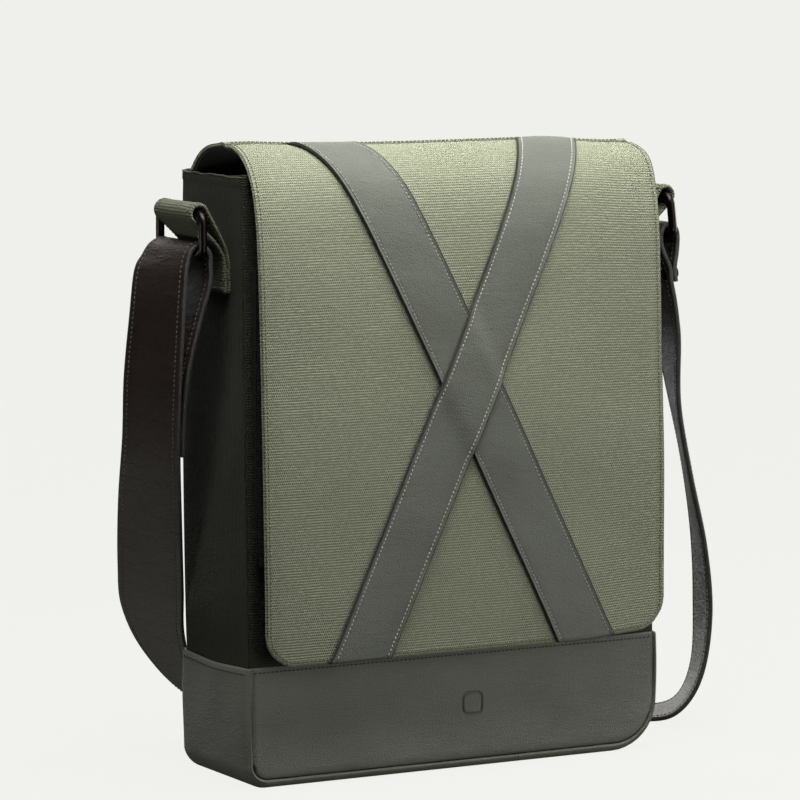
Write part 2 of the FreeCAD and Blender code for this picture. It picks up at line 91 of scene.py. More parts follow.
def ripple(a, b, size, seed, waves=7):
    """Smooth waves between about -1 and 1 over two coordinates, with features about `size` mm wide."""
    random = np.random.default_rng(seed)
    total = 0
    for _ in range(waves):
        angle, phase = random.uniform(0, 2 * math.pi, 2)
        rate = random.uniform(0.6, 1.7) * math.pi / size
        total = total + np.sin(rate * (math.cos(angle) * a + math.sin(angle) * b) + phase)
    return total / (0.6 * waves)


def curve_through(points, per=14):
    """Catmull-Rom through a few points of any dimension."""
    p = np.asarray(points, float)
    p = np.vstack([2 * p[0] - p[1], p, 2 * p[-1] - p[-2]])
    t = np.linspace(0, 1, per, endpoint=False)[:, None]
    runs = []
    for a, b, c, d in zip(p, p[1:], p[2:], p[3:]):
        runs.append(b + 0.5 * t * (c - a + t * (2 * a - 5 * b + 4 * c - d + t * (3 * (b - c) + d - a))))
    return np.vstack(runs + [p[-2:-1]])


def lengths_along(line):
    steps = np.linalg.norm(np.diff(line, axis=0), axis=1)
    return np.concatenate([[0], np.cumsum(steps)])


def at_lengths(line, where, total=None):
    """The points at these lengths along a line."""
    s = lengths_along(line) if total is None else total
    return np.stack([np.interp(where, s, line[:, k]) for k in range(line.shape[1])], axis=-1)


def evenly(line, count):
    s = lengths_along(line)
    return at_lengths(line, np.linspace(0, s[-1], count), s)


def grid_normals(p, ring=False):
    if ring:
        wide = np.concatenate([p[:, -1:], p, p[:, :1]], axis=1)
        across = np.gradient(wide, axis=1)[:, 1:-1]
    else:
        across = np.gradient(p, axis=1)
    return unit(np.cross(across, np.gradient(p, axis=0)))


# --- meshes -----------------------------------------------------------------------------------------
def add_object(name, data):
    made = bpy.data.objects.new(name, data)
    bpy.context.scene.collection.objects.link(made)
    return made


def new_piece(name, points, faces, material, pattern=None):
    """A smooth mesh. pattern gives each point its place on the flat cloth, in mm, for the weave."""
    mesh = bpy.data.meshes.new(name)
    mesh.from_pydata((np.asarray(points, float) * MM).tolist(), [], [tuple(map(int, f)) for f in faces])
    mesh.materials.append(material)
    if pattern is not None:
        place = mesh.attributes.new("pattern_mm", "FLOAT_VECTOR", "POINT")
        place.data.foreach_set("vector", np.asarray(pattern, np.float32).ravel())
    build = bmesh.new()
    build.from_mesh(mesh)
    bmesh.ops.recalc_face_normals(build, faces=build.faces)
    build.to_mesh(mesh)
    build.free()
    mesh.polygons.foreach_set("use_smooth", [True] * len(mesh.polygons))
    mesh.update()
    return add_object(name, mesh)


def quads(index, ring=False):
    a = index
    if ring:
        a = np.concatenate([index, index[:, :1]], axis=1)
    return np.stack([a[:-1, :-1], a[:-1, 1:], a[1:, 1:], a[1:, :-1]], axis=-1).reshape(-1, 4).tolist()


def strip_between(one, two):
    return np.stack([one, np.roll(one, -1), np.roll(two, -1), two], axis=-1).tolist()


def thick_sheet(name, outer, thickness, material, pattern, flip=False, ring=False, steps=4):
    """A closed sheet with rounded edges. `outer` is a grid of points on its outer face, and ring joins
    the last column to the first."""
    rows, cols = outer.shape[:2]
    normal = grid_normals(outer, ring) * (-1 if flip else 1)
    half = np.broadcast_to(np.asarray(thickness, float), (rows, cols))[..., None] / 2
    middle = outer - normal * half
    face, back = outer.copy(), middle - normal * half
    index = np.arange(rows * cols).reshape(rows, cols)
    if ring:
        loops = [index[0], index[-1]]
    else:
        loops = [np.concatenate([index[0], index[1:, -1], index[-1, -2::-1], index[-2:0:-1, 0]])]
    middle, normal = middle.reshape(-1, 3), normal.reshape(-1, 3)
    half = half.reshape(-1, 1)
    face, back = face.reshape(-1, 3), back.reshape(-1, 3)
    pattern = pattern.reshape(-1, 3)
    points, patterns = [face, back], [pattern, pattern + [0, 0, 1]]
    faces = quads(index, ring) + quads(index + rows * cols, ring)
    count = 2 * rows * cols
    for loop in loops:
        row, col = loop // cols, loop % cols
        inner = np.clip(row, 1, rows - 2) * cols + (col if ring else np.clip(col, 1, cols - 2))
        b, n, h = middle[loop], normal[loop], half[loop]
        away = unit(np.cross(np.roll(b, -1, 0) - np.roll(b, 1, 0), n))
        if np.sum(away * (b - middle[inner])) < 0:
            away = -away
        face[loop], back[loop] = b + (n - away) * h, b - (n + away) * h
        before = loop
        for step in range(1, steps):
            turn = math.pi * step / steps
            points.append(b + h * (away * (math.sin(turn) - 1) + n * math.cos(turn)))
            patterns.append(pattern[loop])
            ring_index = np.arange(count, count + len(loop))
            count += len(loop)
            faces += strip_between(before, ring_index)
            before = ring_index
        faces += strip_between(before, loop + rows * cols)
    return new_piece(name, np.vstack(points), faces, material, np.vstack(patterns))


def flat_pattern(u, v):
    """Pattern places for a grid, from its coordinates across and along the ribs."""
    u, v = np.broadcast_arrays(u, v)
    return np.stack([u, v, np.zeros(u.shape)], axis=-1)


def strip_profile(half_width, thickness, groove_in=5.0, groove=0.3, puff=0.25):
    """Outline of a stitched leather strip, as (across, height) points: rounded edges, a sunk line along
    each row of stitches, and a slight swell between the rows."""
    r = thickness / 2
    groove_at = half_width - groove_in
    w = np.concatenate([[-half_width + r], np.linspace(-groove_at - 1.2, -groove_at + 1.2, 5)])
    w = np.concatenate([w, np.linspace(-groove_at + 4, groove_at - 4, 7), -w[:0:-1], [half_width - r]])
    height = r - groove * np.exp(-(((np.abs(w) - groove_at) / 0.7) ** 2))
    height += puff * (1 - np.minimum(1, np.abs(w) / groove_at) ** 4)
    turn = np.linspace(0, math.pi, 6)[1:-1]
    edge = np.stack([half_width - r + r * np.sin(turn), r * np.cos(turn)], axis=-1)
    face = np.stack([w, height], axis=-1)
    return np.vstack([face, edge, (face * [1, -1])[::-1], (edge * [-1, 1])[::-1]])


def swept(name, middle, across, normal, profile, material, scale=None):
    """A closed outline carried along a line."""
    count, around = len(middle), len(profile)
    grow = np.ones(count) if scale is None else scale
    points = (
        middle[:, None]
        + across[:, None] * profile[None, :, :1]
        + normal[:, None] * profile[None, :, 1:] * grow[:, None, None]
    )
    s = lengths_along(middle)
    index = np.arange(count * around).reshape(count, around)
    faces = quads(index, ring=True) + [index[0].tolist(), index[-1].tolist()]
    side = np.sign(profile[:, 1])[None].repeat(count, 0)
    pattern = np.stack([np.broadcast_to(profile[:, 0], (count, around)), s[:, None].repeat(around, 1), side], -1)
    return new_piece(name, points.reshape(-1, 3), faces, material, pattern.reshape(-1, 3))


def turned(name, profile, centre, axis, material, around=32):
    """A piece turned on a lathe: profile holds (radius, height along axis)."""
    axis = unit(np.asarray(axis, float))
    side = unit(np.cross(axis, [0.3, 0.5, 0.8]))
    other = np.cross(axis, side)
    turn = np.linspace(0, 2 * math.pi, around, endpoint=False)
    spokes = np.cos(turn)[:, None] * side + np.sin(turn)[:, None] * other
    profile = np.asarray(profile, float)
    points = np.asarray(centre) + profile[:, None, :1] * spokes[None] + profile[:, None, 1:] * axis
    index = np.arange(len(profile) * around).reshape(len(profile), around)
    faces = quads(index, ring=True) + [index[0].tolist(), index[-1].tolist()]
    return new_piece(name, points.reshape(-1, 3), faces, material)


def join(name, pieces):
    """Joins meshes that share a material into one piece."""
    with bpy.context.temp_override(active_object=pieces[0], selected_editable_objects=pieces):
        bpy.ops.object.join()
    pieces[0].name = name
    pieces[0].data.name = name
    return pieces[0]


# --- stitches ---------------------------------------------------------------------------------------
THREAD_R = 0.36


def thread_template(length, radius):
    """One stitch: a short thread whose two ends dip into the cloth, as (along, across, up) points."""
    along = np.array([-0.5, -0.42, -0.22, 0.22, 0.42, 0.5]) * length
    size = np.array([0.25, 0.8, 1.0, 1.0, 0.8, 0.25]) * radius
    up = np.array([-1.0, -0.1, 0.35, 0.35, -0.1, -1.0]) * radius
    turn = np.linspace(0, 2 * math.pi, 6, endpoint=False)
    rings = [
        np.stack([np.full(6, a), np.cos(turn) * r, np.sin(turn) * r + u], -1)
        for a, r, u in zip(along, size, up)
    ]
    index = np.arange(36).reshape(6, 6)
    return np.vstack(rings), quads(index, ring=True) + [index[0].tolist(), index[-1].tolist()]


def stitches(name, rows, material, pitch=2.8, length=2.0, radius=THREAD_R):
    """Rows of stitches. Each row is (points, outward normals)."""
    template, template_faces = thread_template(length, radius)
    random = np.random.default_rng(len(name))
    points, faces, count = [], [], 0
    for line, normal in rows:
        s = lengths_along(line)
        where = np.arange(pitch / 2, s[-1] - pitch / 3, pitch)
        if not len(where):
            continue
        where = where + random.normal(0, 0.06, len(where))
        place, up = at_lengths(line, where, s), unit(at_lengths(normal, where, s))
        ahead = at_lengths(line, where + 0.5, s) - at_lengths(line, where - 0.5, s)
        along = unit(ahead - up * np.sum(ahead * up, -1, keepdims=True))
        across = np.cross(up, along)
        lean = random.normal(0, 0.07, (len(where), 1))
        along, across = unit(along + across * lean), unit(across - along * lean)
        basis = np.stack([along, across, up], axis=1)
        points.append((place[:, None] + template @ basis).reshape(-1, 3))
        for k in range(len(where)):
            offset = count + k * len(template)
            faces += [[i + offset for i in f] for f in template_faces]
        count += len(where) * len(template)
    return new_piece(name, np.vstack(points), faces, material)


def facing(direction, count):
    """The same outward normal for each point of a row."""
    return np.tile(np.array(direction, float), (count, 1))


def straight_row(x, y, z, outward):
    """A row for stitches(), through these coordinates and facing one way all along."""
    line = np.stack(np.broadcast_arrays(x, y, z), axis=-1)
    return line, facing(outward, len(line))


# --- materials --------------------------------------------------------------------------------------
class Shader:
    """Builds one material's nodes. An input may be a number, a colour or another node's output."""

    def __init__(self, name):
        self.material = bpy.data.materials.new(name)
        self.material.use_nodes = True
        self.nodes = self.material.node_tree.nodes
        self.links = self.material.node_tree.links
        self.surface = self.nodes["Principled BSDF"]

    def node(self, kind, inputs=None, output=0, **settings):
        made = self.nodes.new("ShaderNode" + kind)
        for key, value in settings.items():
            setattr(made, key, value)
        for key, value in (inputs or {}).items():
            self.connect(made.inputs[key], value)
        return made.outputs[output]

    def connect(self, socket, value):
        if isinstance(value, bpy.types.NodeSocket):
            self.links.new(value, socket)
        else:
            socket.default_value = value

    def set(self, **inputs):
        for key, value in inputs.items():
            self.connect(self.surface.inputs[key.replace("_", " ")], value)
        return self.material

    def math(self, operation, a, b=0.0):
        return self.node("Math", {0: a, 1: b}, operation=operation)

    def plus(self, a, b):
        return self.math("ADD", a, b)

    def times(self, a, b):
        return self.math("MULTIPLY", a, b)

    def sine(self, value, pitch):
        """A wave that repeats every `pitch`."""
        return self.math("SINE", self.times(value, 2 * math.pi / pitch))

    def mix(self, factor, a, b, blend="MIX"):
        made = self.nodes.new("ShaderNodeMix")
        made.data_type = "RGBA"
        made.blend_type = blend
        for key, value in ((0, factor), (6, a), (7, b)):
            self.connect(made.inputs[key], value)
        return made.outputs[2]

    def noise(self, vector, scale, detail=2.0, roughness=0.5):
        return self.node("TexNoise", {"Vector": vector, "Scale": scale, "Detail": detail, "Roughness": roughness})

    def ramp(self, value, low, high, to_low=0.0, to_high=1.0):
        settings = {"Value": value, "From Min": low, "From Max": high, "To Min": to_low, "To Max": to_high}
        return self.node("MapRange", settings)

    def position(self):
        """The point's place on the object, in metres."""
        return self.node("TexCoord", output=3)

    def pattern(self):
        """The point's place on the flat cloth, in mm."""
        return self.node("Attribute", output=1, attribute_name="pattern_mm")

    def scaled(self, vector, x, y, z=1.0):
        return self.node("VectorMath", {0: vector, 1: (x, y, z)}, operation="MULTIPLY")

    def bump(self, height, distance_mm, normal=None, strength=1.0):
        inputs = {"Height": height, "Distance": distance_mm * MM, "Strength": strength}
        if normal is not None:
            inputs["Normal"] = normal
        return self.node("Bump", inputs)


def grey(level):
    return (level, level, level, 1)


def rgba(colour, share=1.0):
    """A colour at this share of its brightness."""
    return tuple(c * share for c in colour) + (1,)


def canvas_material(name, light, dark, rib=1.62, rib_depth=0.42, painted_gap_shade=0.9, sheen=0.22):
    """Heavy canvas: thick ribs across the cloth, broken by the finer warp threads between them. Its colour holds
    painted shade in the hollows between the ribs and a painted highlight on the raised thread cells.
    """
    s = Shader(name)
    place = s.pattern()
    u, v = s.node("SeparateXYZ", {0: place}).node.outputs[:2]
    wander = s.noise(s.scaled(place, 0.05, 0.03), 1.0, 2.0)
    v_bent = s.plus(v, s.times(wander, 0.5))
    ridge = s.ramp(s.sine(v_bent, rib), -1, 1)
    row = s.math("FLOOR", s.math("DIVIDE", v_bent, rib))
    odd = s.times(s.math("MODULO", row, 2.0), math.pi)
    warp = s.math("SINE", s.plus(s.times(u, 2 * math.pi / 1.3), odd))
    dashes = s.noise(s.scaled(place, 0.36, 0.62), 1.0, 3.0, 0.65)
    height = s.plus(s.times(ridge, 0.8), s.times(warp, 0.42))
    height = s.plus(height, s.times(dashes, 0.7))
    cloudy = s.noise(s.scaled(place, 0.014, 0.02), 1.0, 3.0)
    fuzz = s.noise(place, 3.2, 2.0, 0.7)
    low_warp = s.ramp(warp, 0.9, -0.9, 0.45, 1.0)
    # Painted shade: a mask over the low parts between ribs and warp threads, where the colour is darkened as if
    # shaded.
    painted_hollow_shade = s.times(s.ramp(ridge, 0.5, 0.0), s.ramp(dashes, 0.38, 0.6))
    painted_hollow_shade = s.times(s.times(painted_hollow_shade, low_warp), painted_gap_shade)
    colour = s.mix(s.ramp(cloudy, 0.3, 0.7, 0.0, 0.35), rgba(light), rgba(dark))
    colour = s.mix(painted_hollow_shade, colour, rgba(dark, 0.30))
    colour = s.mix(0.75, colour, s.mix(s.ramp(dashes, 0.34, 0.66), grey(0.55), grey(1.12)), "MULTIPLY")
    # Painted highlight and shade: raised thread cells are made lighter and low ones darker.
    cells = s.ramp(s.times(warp, ridge), -0.4, 0.8)
    colour = s.mix(0.45, colour, s.mix(cells, grey(0.80), grey(1.12)), "MULTIPLY")
    colour = s.mix(0.4, colour, s.mix(fuzz, grey(0.72), grey(1.0)), "MULTIPLY")
    surface = s.bump(height, rib_depth)
    surface = s.bump(s.noise(place, 2.2, 3.0, 0.7), 0.10, surface)
    return s.set(
        Base_Color=colour, Roughness=0.88, Normal=surface, Sheen_Weight=sheen, Sheen_Roughness=0.5,
        Sheen_Tint=(0.85, 0.9, 0.7, 1), Specular_IOR_Level=0.25,
    )


def leather_material(name, light, dark, roughness=0.5, grain=0.10, crease=0.12, grain_size=1.4, edge=None,
                     edge_paint_and_shadow=(0.08, 0.08, 0.072), gloss=0.4, pale_low_painted_light=None):
    """Leather: a fine pebbled grain, softer hollows, shallow creases and a waxy, uneven gloss."""
    s = Shader(name)
    place = s.pattern()
    bent = s.node("VectorMath", {0: place, 1: s.scaled(s.node("TexNoise", {"Vector": place, "Scale": 0.5},
                  output=1), 0.8, 0.8)}, operation="ADD")
    cells = s.node("TexVoronoi", {"Vector": bent, "Scale": 1 / grain_size}, feature="DISTANCE_TO_EDGE")
    pores = s.noise(place, 2.6, 3.0, 0.7)
    folds = s.noise(s.scaled(place, 0.07, 0.16), 1.0, 4.0, 0.62)
    cloudy = s.noise(s.scaled(place, 0.02, 0.03), 1.0, 3.0)
    lines = s.ramp(s.math("ABSOLUTE", s.math("SUBTRACT", folds, 0.5)), 0.0, 0.035)
    colour = s.mix(s.ramp(cloudy, 0.3, 0.7), rgba(dark), rgba(light))
    colour = s.mix(s.ramp(pores, 0.35, 0.7, 0.0, 0.25), colour, rgba(dark, 0.6))
    colour = s.mix(s.ramp(cells, 0.0, 0.12, 0.25, 0.0), colour, rgba(dark, 0.5))
    # Painted light and shade: the colour turns paler towards the bottom and stays dark at the top, standing for shade
    # on the upper strap and brighter light low down.
    if pale_low_painted_light:
        height = s.node("SeparateXYZ", {0: s.position()}, output=2)
        pale = s.mix(cloudy, rgba(pale_low_painted_light, 0.75), rgba(pale_low_painted_light))
        colour = s.mix(s.ramp(height, 0.24, 0.04), colour, pale)
    # Edge colour: on the shoulder strap a lighter edge paint; on the crossed straps a dark rim that is partly their
    # dark edge and partly painted contact shadow.
    if edge:
        beyond = s.ramp(s.math("ABSOLUTE", s.node("SeparateXYZ", {0: place})), edge, edge + 0.5)
        rim = s.mix(pores, rgba(edge_paint_and_shadow, 0.7), rgba(edge_paint_and_shadow))
        colour = s.mix(beyond, colour, rim)
    surface = s.bump(s.ramp(cells, 0.0, 0.25), grain)
    surface = s.bump(pores, grain * 0.8, surface)
    surface = s.bump(lines, crease * 0.35, surface)
    surface = s.bump(folds, crease * 3, surface)
    rough = s.ramp(s.plus(cloudy, s.times(pores, 0.5)), 0.5, 1.0, roughness - 0.07, roughness + 0.1)
    return s.set(Base_Color=colour, Roughness=rough, Normal=surface, Specular_IOR_Level=gloss)


def lining_material(name, light, dark):
    """Plain close-woven cotton."""
    s = Shader(name)
    place = s.pattern()
    u, v = s.node("SeparateXYZ", {0: place}).node.outputs[:2]
    thread_pitch = 0.7
    weave = s.times(s.sine(u, thread_pitch), s.sine(v, thread_pitch))
    slub = s.noise(s.scaled(place, 0.06, 1.1), 1.0, 3.0, 0.6)
    cloudy = s.noise(s.scaled(place, 0.02, 0.02), 1.0, 3.0)
    colour = s.mix(s.times(s.plus(slub, cloudy), 0.5), rgba(light), rgba(dark))
    colour = s.mix(s.ramp(weave, -1, 1, 0.25, 0.0), colour, rgba(dark, 0.4))
    surface = s.bump(s.plus(weave, slub), 0.08)
    surface = s.bump(s.noise(s.scaled(place, 0.035, 0.05), 1.0, 3.0), 2.5, surface)
    return s.set(Base_Color=colour, Roughness=0.85, Normal=surface, Sheen_Weight=0.1, Specular_IOR_Level=0.25)


def thread_material(name, colour):
    s = Shader(name)
    place = s.position()
    fibres = s.noise(place, 2500.0, 2.0)
    shade = s.mix(fibres, rgba(colour, 0.55), rgba(colour))
    surface = s.bump(fibres, 0.05)
    return s.set(Base_Color=shade, Roughness=0.6, Normal=surface, Specular_IOR_Level=0.3)


def metal_material(name, colour, roughness=0.22):
    """Dark plated steel: polished, with faint scuffs."""
    s = Shader(name)
    place = s.position()
    scuffs = s.noise(s.scaled(place, 900.0, 900.0, 120.0), 1.0, 4.0, 0.7)
    worn = s.noise(place, 90.0, 3.0)
    shade = s.mix(s.ramp(worn, 0.45, 0.75), rgba(colour), rgba(colour, 1.7))
    rough = s.ramp(scuffs, 0.3, 0.8, roughness - 0.06, roughness + 0.14)
    return s.set(Base_Color=shade, Metallic=1.0, Roughness=rough, Normal=s.bump(scuffs, 0.02))


def plain_material(name, colour, roughness, size_mm, depth):
    """Nylon, board or foam: an even colour with fine pits."""
    s = Shader(name)
    place = s.position()
    pits = s.noise(place, 1000.0 / size_mm, 3.0, 0.6)
    shade = s.mix(pits, rgba(colour, 0.7), rgba(colour))
    return s.set(Base_Color=shade, Roughness=roughness, Normal=s.bump(pits, depth))


FLAP_CANVAS_LOOK = canvas_material("flap_canvas", (0.296, 0.314, 0.211), (0.233, 0.248, 0.167))
BODY_CANVAS_LOOK = canvas_material("body_canvas", (0.046, 0.050, 0.030), (0.024, 0.027, 0.016), rib_depth=0.9,
                                   sheen=0.05)
# Painted shade: the pocket under the flap gets a much darker copy of the canvas, standing for the shadow in the recess
# under the flap.
SHADED_POCKET_CANVAS_LOOK = canvas_material("pocket_canvas_painted_shade", (0.018, 0.020, 0.013), (0.010, 0.011, 0.007), sheen=0.0)
TAB_CANVAS_LOOK = canvas_material("tab_canvas", (0.160, 0.170, 0.112), (0.105, 0.113, 0.073), painted_gap_shade=0.9, sheen=0.05)
BASE_LEATHER_LOOK = leather_material("base_leather", (0.168, 0.171, 0.138), (0.129, 0.131, 0.105), 0.54, grain=0.16,
                                     crease=0.18)
# The crossed straps' dark edge colour is partly their own dark edge and partly painted contact shadow.
CROSS_LEATHER_LOOK = leather_material("cross_leather", (0.126, 0.134, 0.109), (0.098, 0.104, 0.084), 0.6, grain=0.14,
                                      crease=0.16, edge=20.0, edge_paint_and_shadow=(0.045, 0.046, 0.038), gloss=0.25)
# The shoulder strap's colour is painted paler low down and darker high up, as painted light and shade.
STRAP_LEATHER_LOOK = leather_material("strap_leather", (0.036, 0.024, 0.020), (0.021, 0.013, 0.010), 0.5, crease=0.45,
                                      edge=24.0, gloss=0.12, pale_low_painted_light=(0.195, 0.188, 0.160))
LINING_LOOK = lining_material("lining_cloth", (0.044, 0.046, 0.034), (0.028, 0.030, 0.022))
TAPE_LOOK = lining_material("zip_tape", (0.040, 0.040, 0.036), (0.025, 0.025, 0.022))
LIGHT_THREAD = thread_material("thread_light", (0.50, 0.49, 0.43))
OLIVE_THREAD = thread_material("thread_olive", (0.15, 0.16, 0.105))
TAB_THREAD = thread_material("thread_dull", (0.075, 0.082, 0.052))
BROWN_THREAD = thread_material("thread_brown", (0.17, 0.16, 0.14))
DARK_THREAD = thread_material("thread_dark", (0.040, 0.040, 0.036))
GREY_THREAD = thread_material("thread_grey", (0.36, 0.355, 0.31))
METAL_LOOK = metal_material("dark_metal", (0.022, 0.018, 0.017), 0.28)
COIL_LOOK = plain_material("zip_coil", (0.03, 0.03, 0.03), 0.4, 0.8, 0.05)
FOAM_LOOK = plain_material("foam", (0.06, 0.06, 0.06), 0.9, 1.5, 0.4)
BOARD_LOOK = plain_material("stiff_board", (0.10, 0.10, 0.095), 0.7, 2.0, 0.1)


def finish_piece(piece, body=None, blend=None, nodes=()):
    """Hangs a piece on its body, or, given a blend, bakes its placement into its points; then hides the CAD parts it
    replaces.
    """
    if blend:
        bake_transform(piece)
    else:
        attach(piece, body)
    if nodes:
        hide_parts(*nodes)
    return piece


def sew(name, rows, thread, slot, body=None, blend=None, **sizes):
    """Rows of stitches as a piece of their own."""
    finish_piece(stitches(name, rows, thread, **sizes), body, blend)


# --- canvas body ------------------------------------------------------------------------------------
BODY_CORNER_R = 4.0
HEM_DEPTH = 7.5


def around_rectangle(per_front, per_side, per_corner=6):
    """Points round a rectangle with rounded corners, from the front left: for each, which share of the
    straight half sides it lies at, and its outward direction."""
    corners = [(-1, -1), (1, -1), (1, 1), (-1, 1)]
    share, outward = [], []
    for k, (x, y) in enumerate(corners):
        start = math.radians(180 + 90 * k)
        for turn in np.linspace(start, start + math.pi / 2, per_corner):
            share.append((x, y))
            outward.append((math.cos(turn), math.sin(turn)))
        nx, ny = corners[(k + 1) % 4]
        count = per_front if k % 2 == 0 else per_side
        for t in np.linspace(0, 1, count + 2)[1:-1]:
            share.append((x + (nx - x) * t, y + (ny - y) * t))
            outward.append((math.cos(start + math.pi / 2), math.sin(start + math.pi / 2)))
    return np.array(share, float), np.array(outward)


def up_share(z):
    """How far up the canvas a height is: 0 at the base's top edge, 1 at the mouth."""
    return np.clip((z - BASE_TOP) / (MOUTH_Z - BASE_TOP), 0, 1)


def front_y(z, inset=0.0):
    return FRONT_LOW_Y + (FRONT_TOP_Y - FRONT_LOW_Y) * up_share(z) + inset


def tub(z, share, outward, inset, back_inset, corner_r):
    """The bag's outline at each height z, inset mm inside the canvas: a grid of points."""
    x_half = HALF_W - inset
    low, high = front_y(z, inset), np.full(z.shape, BACK_Y - back_inset)
    centre, y_half = (low + high) / 2, (high - low) / 2
    x = share[None, :, 0] * (x_half - corner_r) + outward[None, :, 0] * corner_r
    y = centre[:, None] + share[None, :, 1] * (y_half[:, None] - corner_r) + outward[None, :, 1] * corner_r
    return np.stack([np.broadcast_to(x, y.shape), y, np.broadcast_to(z[:, None], y.shape)], axis=-1)


def swell(points, share, outward, sides, faces, seed):
    """Cloth stands out a little between its seams, and waves."""
    z = points[..., 2]
    upright = np.sin(math.pi * up_share(z)) ** 0.7
    on_side = np.abs(outward[:, 0]) > 0.98
    on_face = np.abs(outward[:, 1]) > 0.98
    amount = np.where(on_side, sides * (1 - share[:, 1] ** 2), 0)
    amount = amount + np.where(on_face, faces * (1 - share[:, 0] ** 2), 0)
    along = np.where(on_side, points[..., 1], points[..., 0])
    wave = 0.5 * ripple(along, z, 48, seed) * np.where(on_side, 1 - share[:, 1] ** 4, 1 - share[:, 0] ** 4)
    push = amount * upright + wave * (on_side | on_face)
    points[..., 0] += push * outward[None, :, 0]
    points[..., 1] += push * outward[None, :, 1]
    return points


def cloth_pattern(points, outward):
    """Ribs run level on the front and back, and upright on the two sides."""
    on_side = np.abs(outward[:, 0]) > 0.93
    x, y, z = points[..., 0], points[..., 1], points[..., 2]
    return flat_pattern(np.where(on_side, z, x), np.where(on_side, y + 300, z))


def make_body():
    share, outward = around_rectangle(44, 22)
    z = np.concatenate([np.linspace(BASE_TOP - 8, MOUTH_Z - 9, 60), MOUTH_Z - np.array([7, 5.5, 3.5, 0.8])])
    points = swell(tub(z, share, outward, 0, 0, BODY_CORNER_R), share, outward, 1.2, 0.8, 11)
    hem = 0.55 * ease((points[..., 2] - (MOUTH_Z - HEM_DEPTH)) / 2.0)
    points[..., :2] += hem[..., None] * outward[None]
    upright = np.sin(math.pi * up_share(points[..., 2])) ** 0.5
    back = ease((points[..., 1] - 15) / 30) * upright
    points[..., 0] += 1.3 * back * np.sign(points[..., 0]) * (np.abs(outward[None, :, 0]) > 0.2)
    points[..., 1] += 1.4 * back * (np.abs(outward[None, :, 1]) > 0.2)
    rim = ease((points[..., 2] - (MOUTH_Z - 30)) / 30)
    points[..., 2] += rim * 0.8 * ripple(points[..., 0], points[..., 1], 9, 5)
    body = thick_sheet("body_canvas", points, CANVAS, BODY_CANVAS_LOOK, cloth_pattern(points, outward), ring=True)
    finish_piece(body, "bag", nodes=("front_panel", "back_panel", "gusset_left", "gusset_right"))
    normal = np.column_stack([outward, np.zeros(len(outward))])
    rows = [(points[-1] - [0, 0, 0.5], normal)]
    sew("mouth_stitches", rows, TAB_THREAD, "body_canvas", "bag", pitch=2.1, length=1.7)


def low_squeeze(z):
    """The inside narrows towards the round lower corners of the base."""
    return 1 - 0.11 * ease((26 - z) / 22) ** 2


def inside_tub(name, z, inset, back_inset, thickness, material, nodes, seed, wave):
    share, outward = around_rectangle(40, 20)
    points = swell(tub(z, share, outward, inset, back_inset, BODY_CORNER_R), share, outward, -0.3, -0.3, seed)
    waves = wave * ripple(points[..., 0] + points[..., 1], points[..., 2], 30, seed + 1)
    points[..., :2] += waves[..., None] * outward[None]
    if z[0] < BASE_TOP:
        points[..., 0] *= low_squeeze(points[..., 2])
    piece = thick_sheet(name, points, thickness, material, cloth_pattern(points, outward), ring=True)
    return finish_piece(piece, "bag", nodes=nodes)


def make_inside_shell():
    facing_z = np.concatenate([[330.5, 333], np.linspace(336, MOUTH_Z - 4, 8), [MOUTH_Z - 1.5]])
    inside_tub("mouth_facing_canvas", facing_z, CANVAS + 0.15, CANVAS + 0.15, 1.0, BODY_CANVAS_LOOK,
               ("mouth_facing",), 21, 0.1)
    lining_z = np.concatenate([[8, 12, 17, 24], np.linspace(34, 329, 40)])
    back_in = BACK_Y - node_box("lining")[1][1]
    inside_tub("lining_walls", lining_z, CANVAS + 0.5, back_in + 0.2, 0.8, LINING_LOOK,
               ("lining",), 31, 0.35)
    x, y = np.meshgrid(np.linspace(-120, 120, 40), np.linspace(-39, 34.5, 16))
    z = 7.6 + 0.4 * ripple(x, y, 25, 33)
    floor = thick_sheet("lining_floor", np.stack([x, y, z], -1), 0.8, LINING_LOOK, flat_pattern(x, y))
    finish_piece(floor, "bag")


# --- leather base -----------------------------------------------------------------------------------
def row_on(points, level, columns=slice(None)):
    """The line where a grid of points, rising row by row, passes a height."""
    part = points[:, columns]
    columns = part.transpose(1, 0, 2)
    return np.array([[np.interp(level, column[:, 2], column[:, k]) for k in range(3)] for column in columns])


LEFT_R, RIGHT_R = 14.0, 31.0


def base_path(top, per_side=12, per_corner=11, per_floor=40):
    """Front view of the base's outline, from the top left round to the top right: x, z and the outward
    direction."""
    turn = np.linspace(0, math.pi / 2, per_corner)
    points = []
    for side, r in ((-1, LEFT_R), (1, RIGHT_R)):
        x = BASE_X - r
        half = [(side * BASE_X, z, side, 0) for z in np.linspace(top, r, per_side, endpoint=False)]
        half += [(side * (x + r * math.cos(t)), r - r * math.sin(t), side * math.cos(t), -math.sin(t)) for t in turn]
        points.append(half)
    floor = [(x, 0, 0, -1) for x in np.linspace(LEFT_R - BASE_X, BASE_X - RIGHT_R, per_floor + 2)[1:-1]]
    return np.array(points[0] + floor + points[1][::-1])


def base_top_edge(y):
    """The folded top edge of the base dips a little in the middle of each side."""
    return BASE_TOP - 0.8 - 1.6 * np.sin(math.pi * (y + BASE_Y) / (2 * BASE_Y)) ** 2


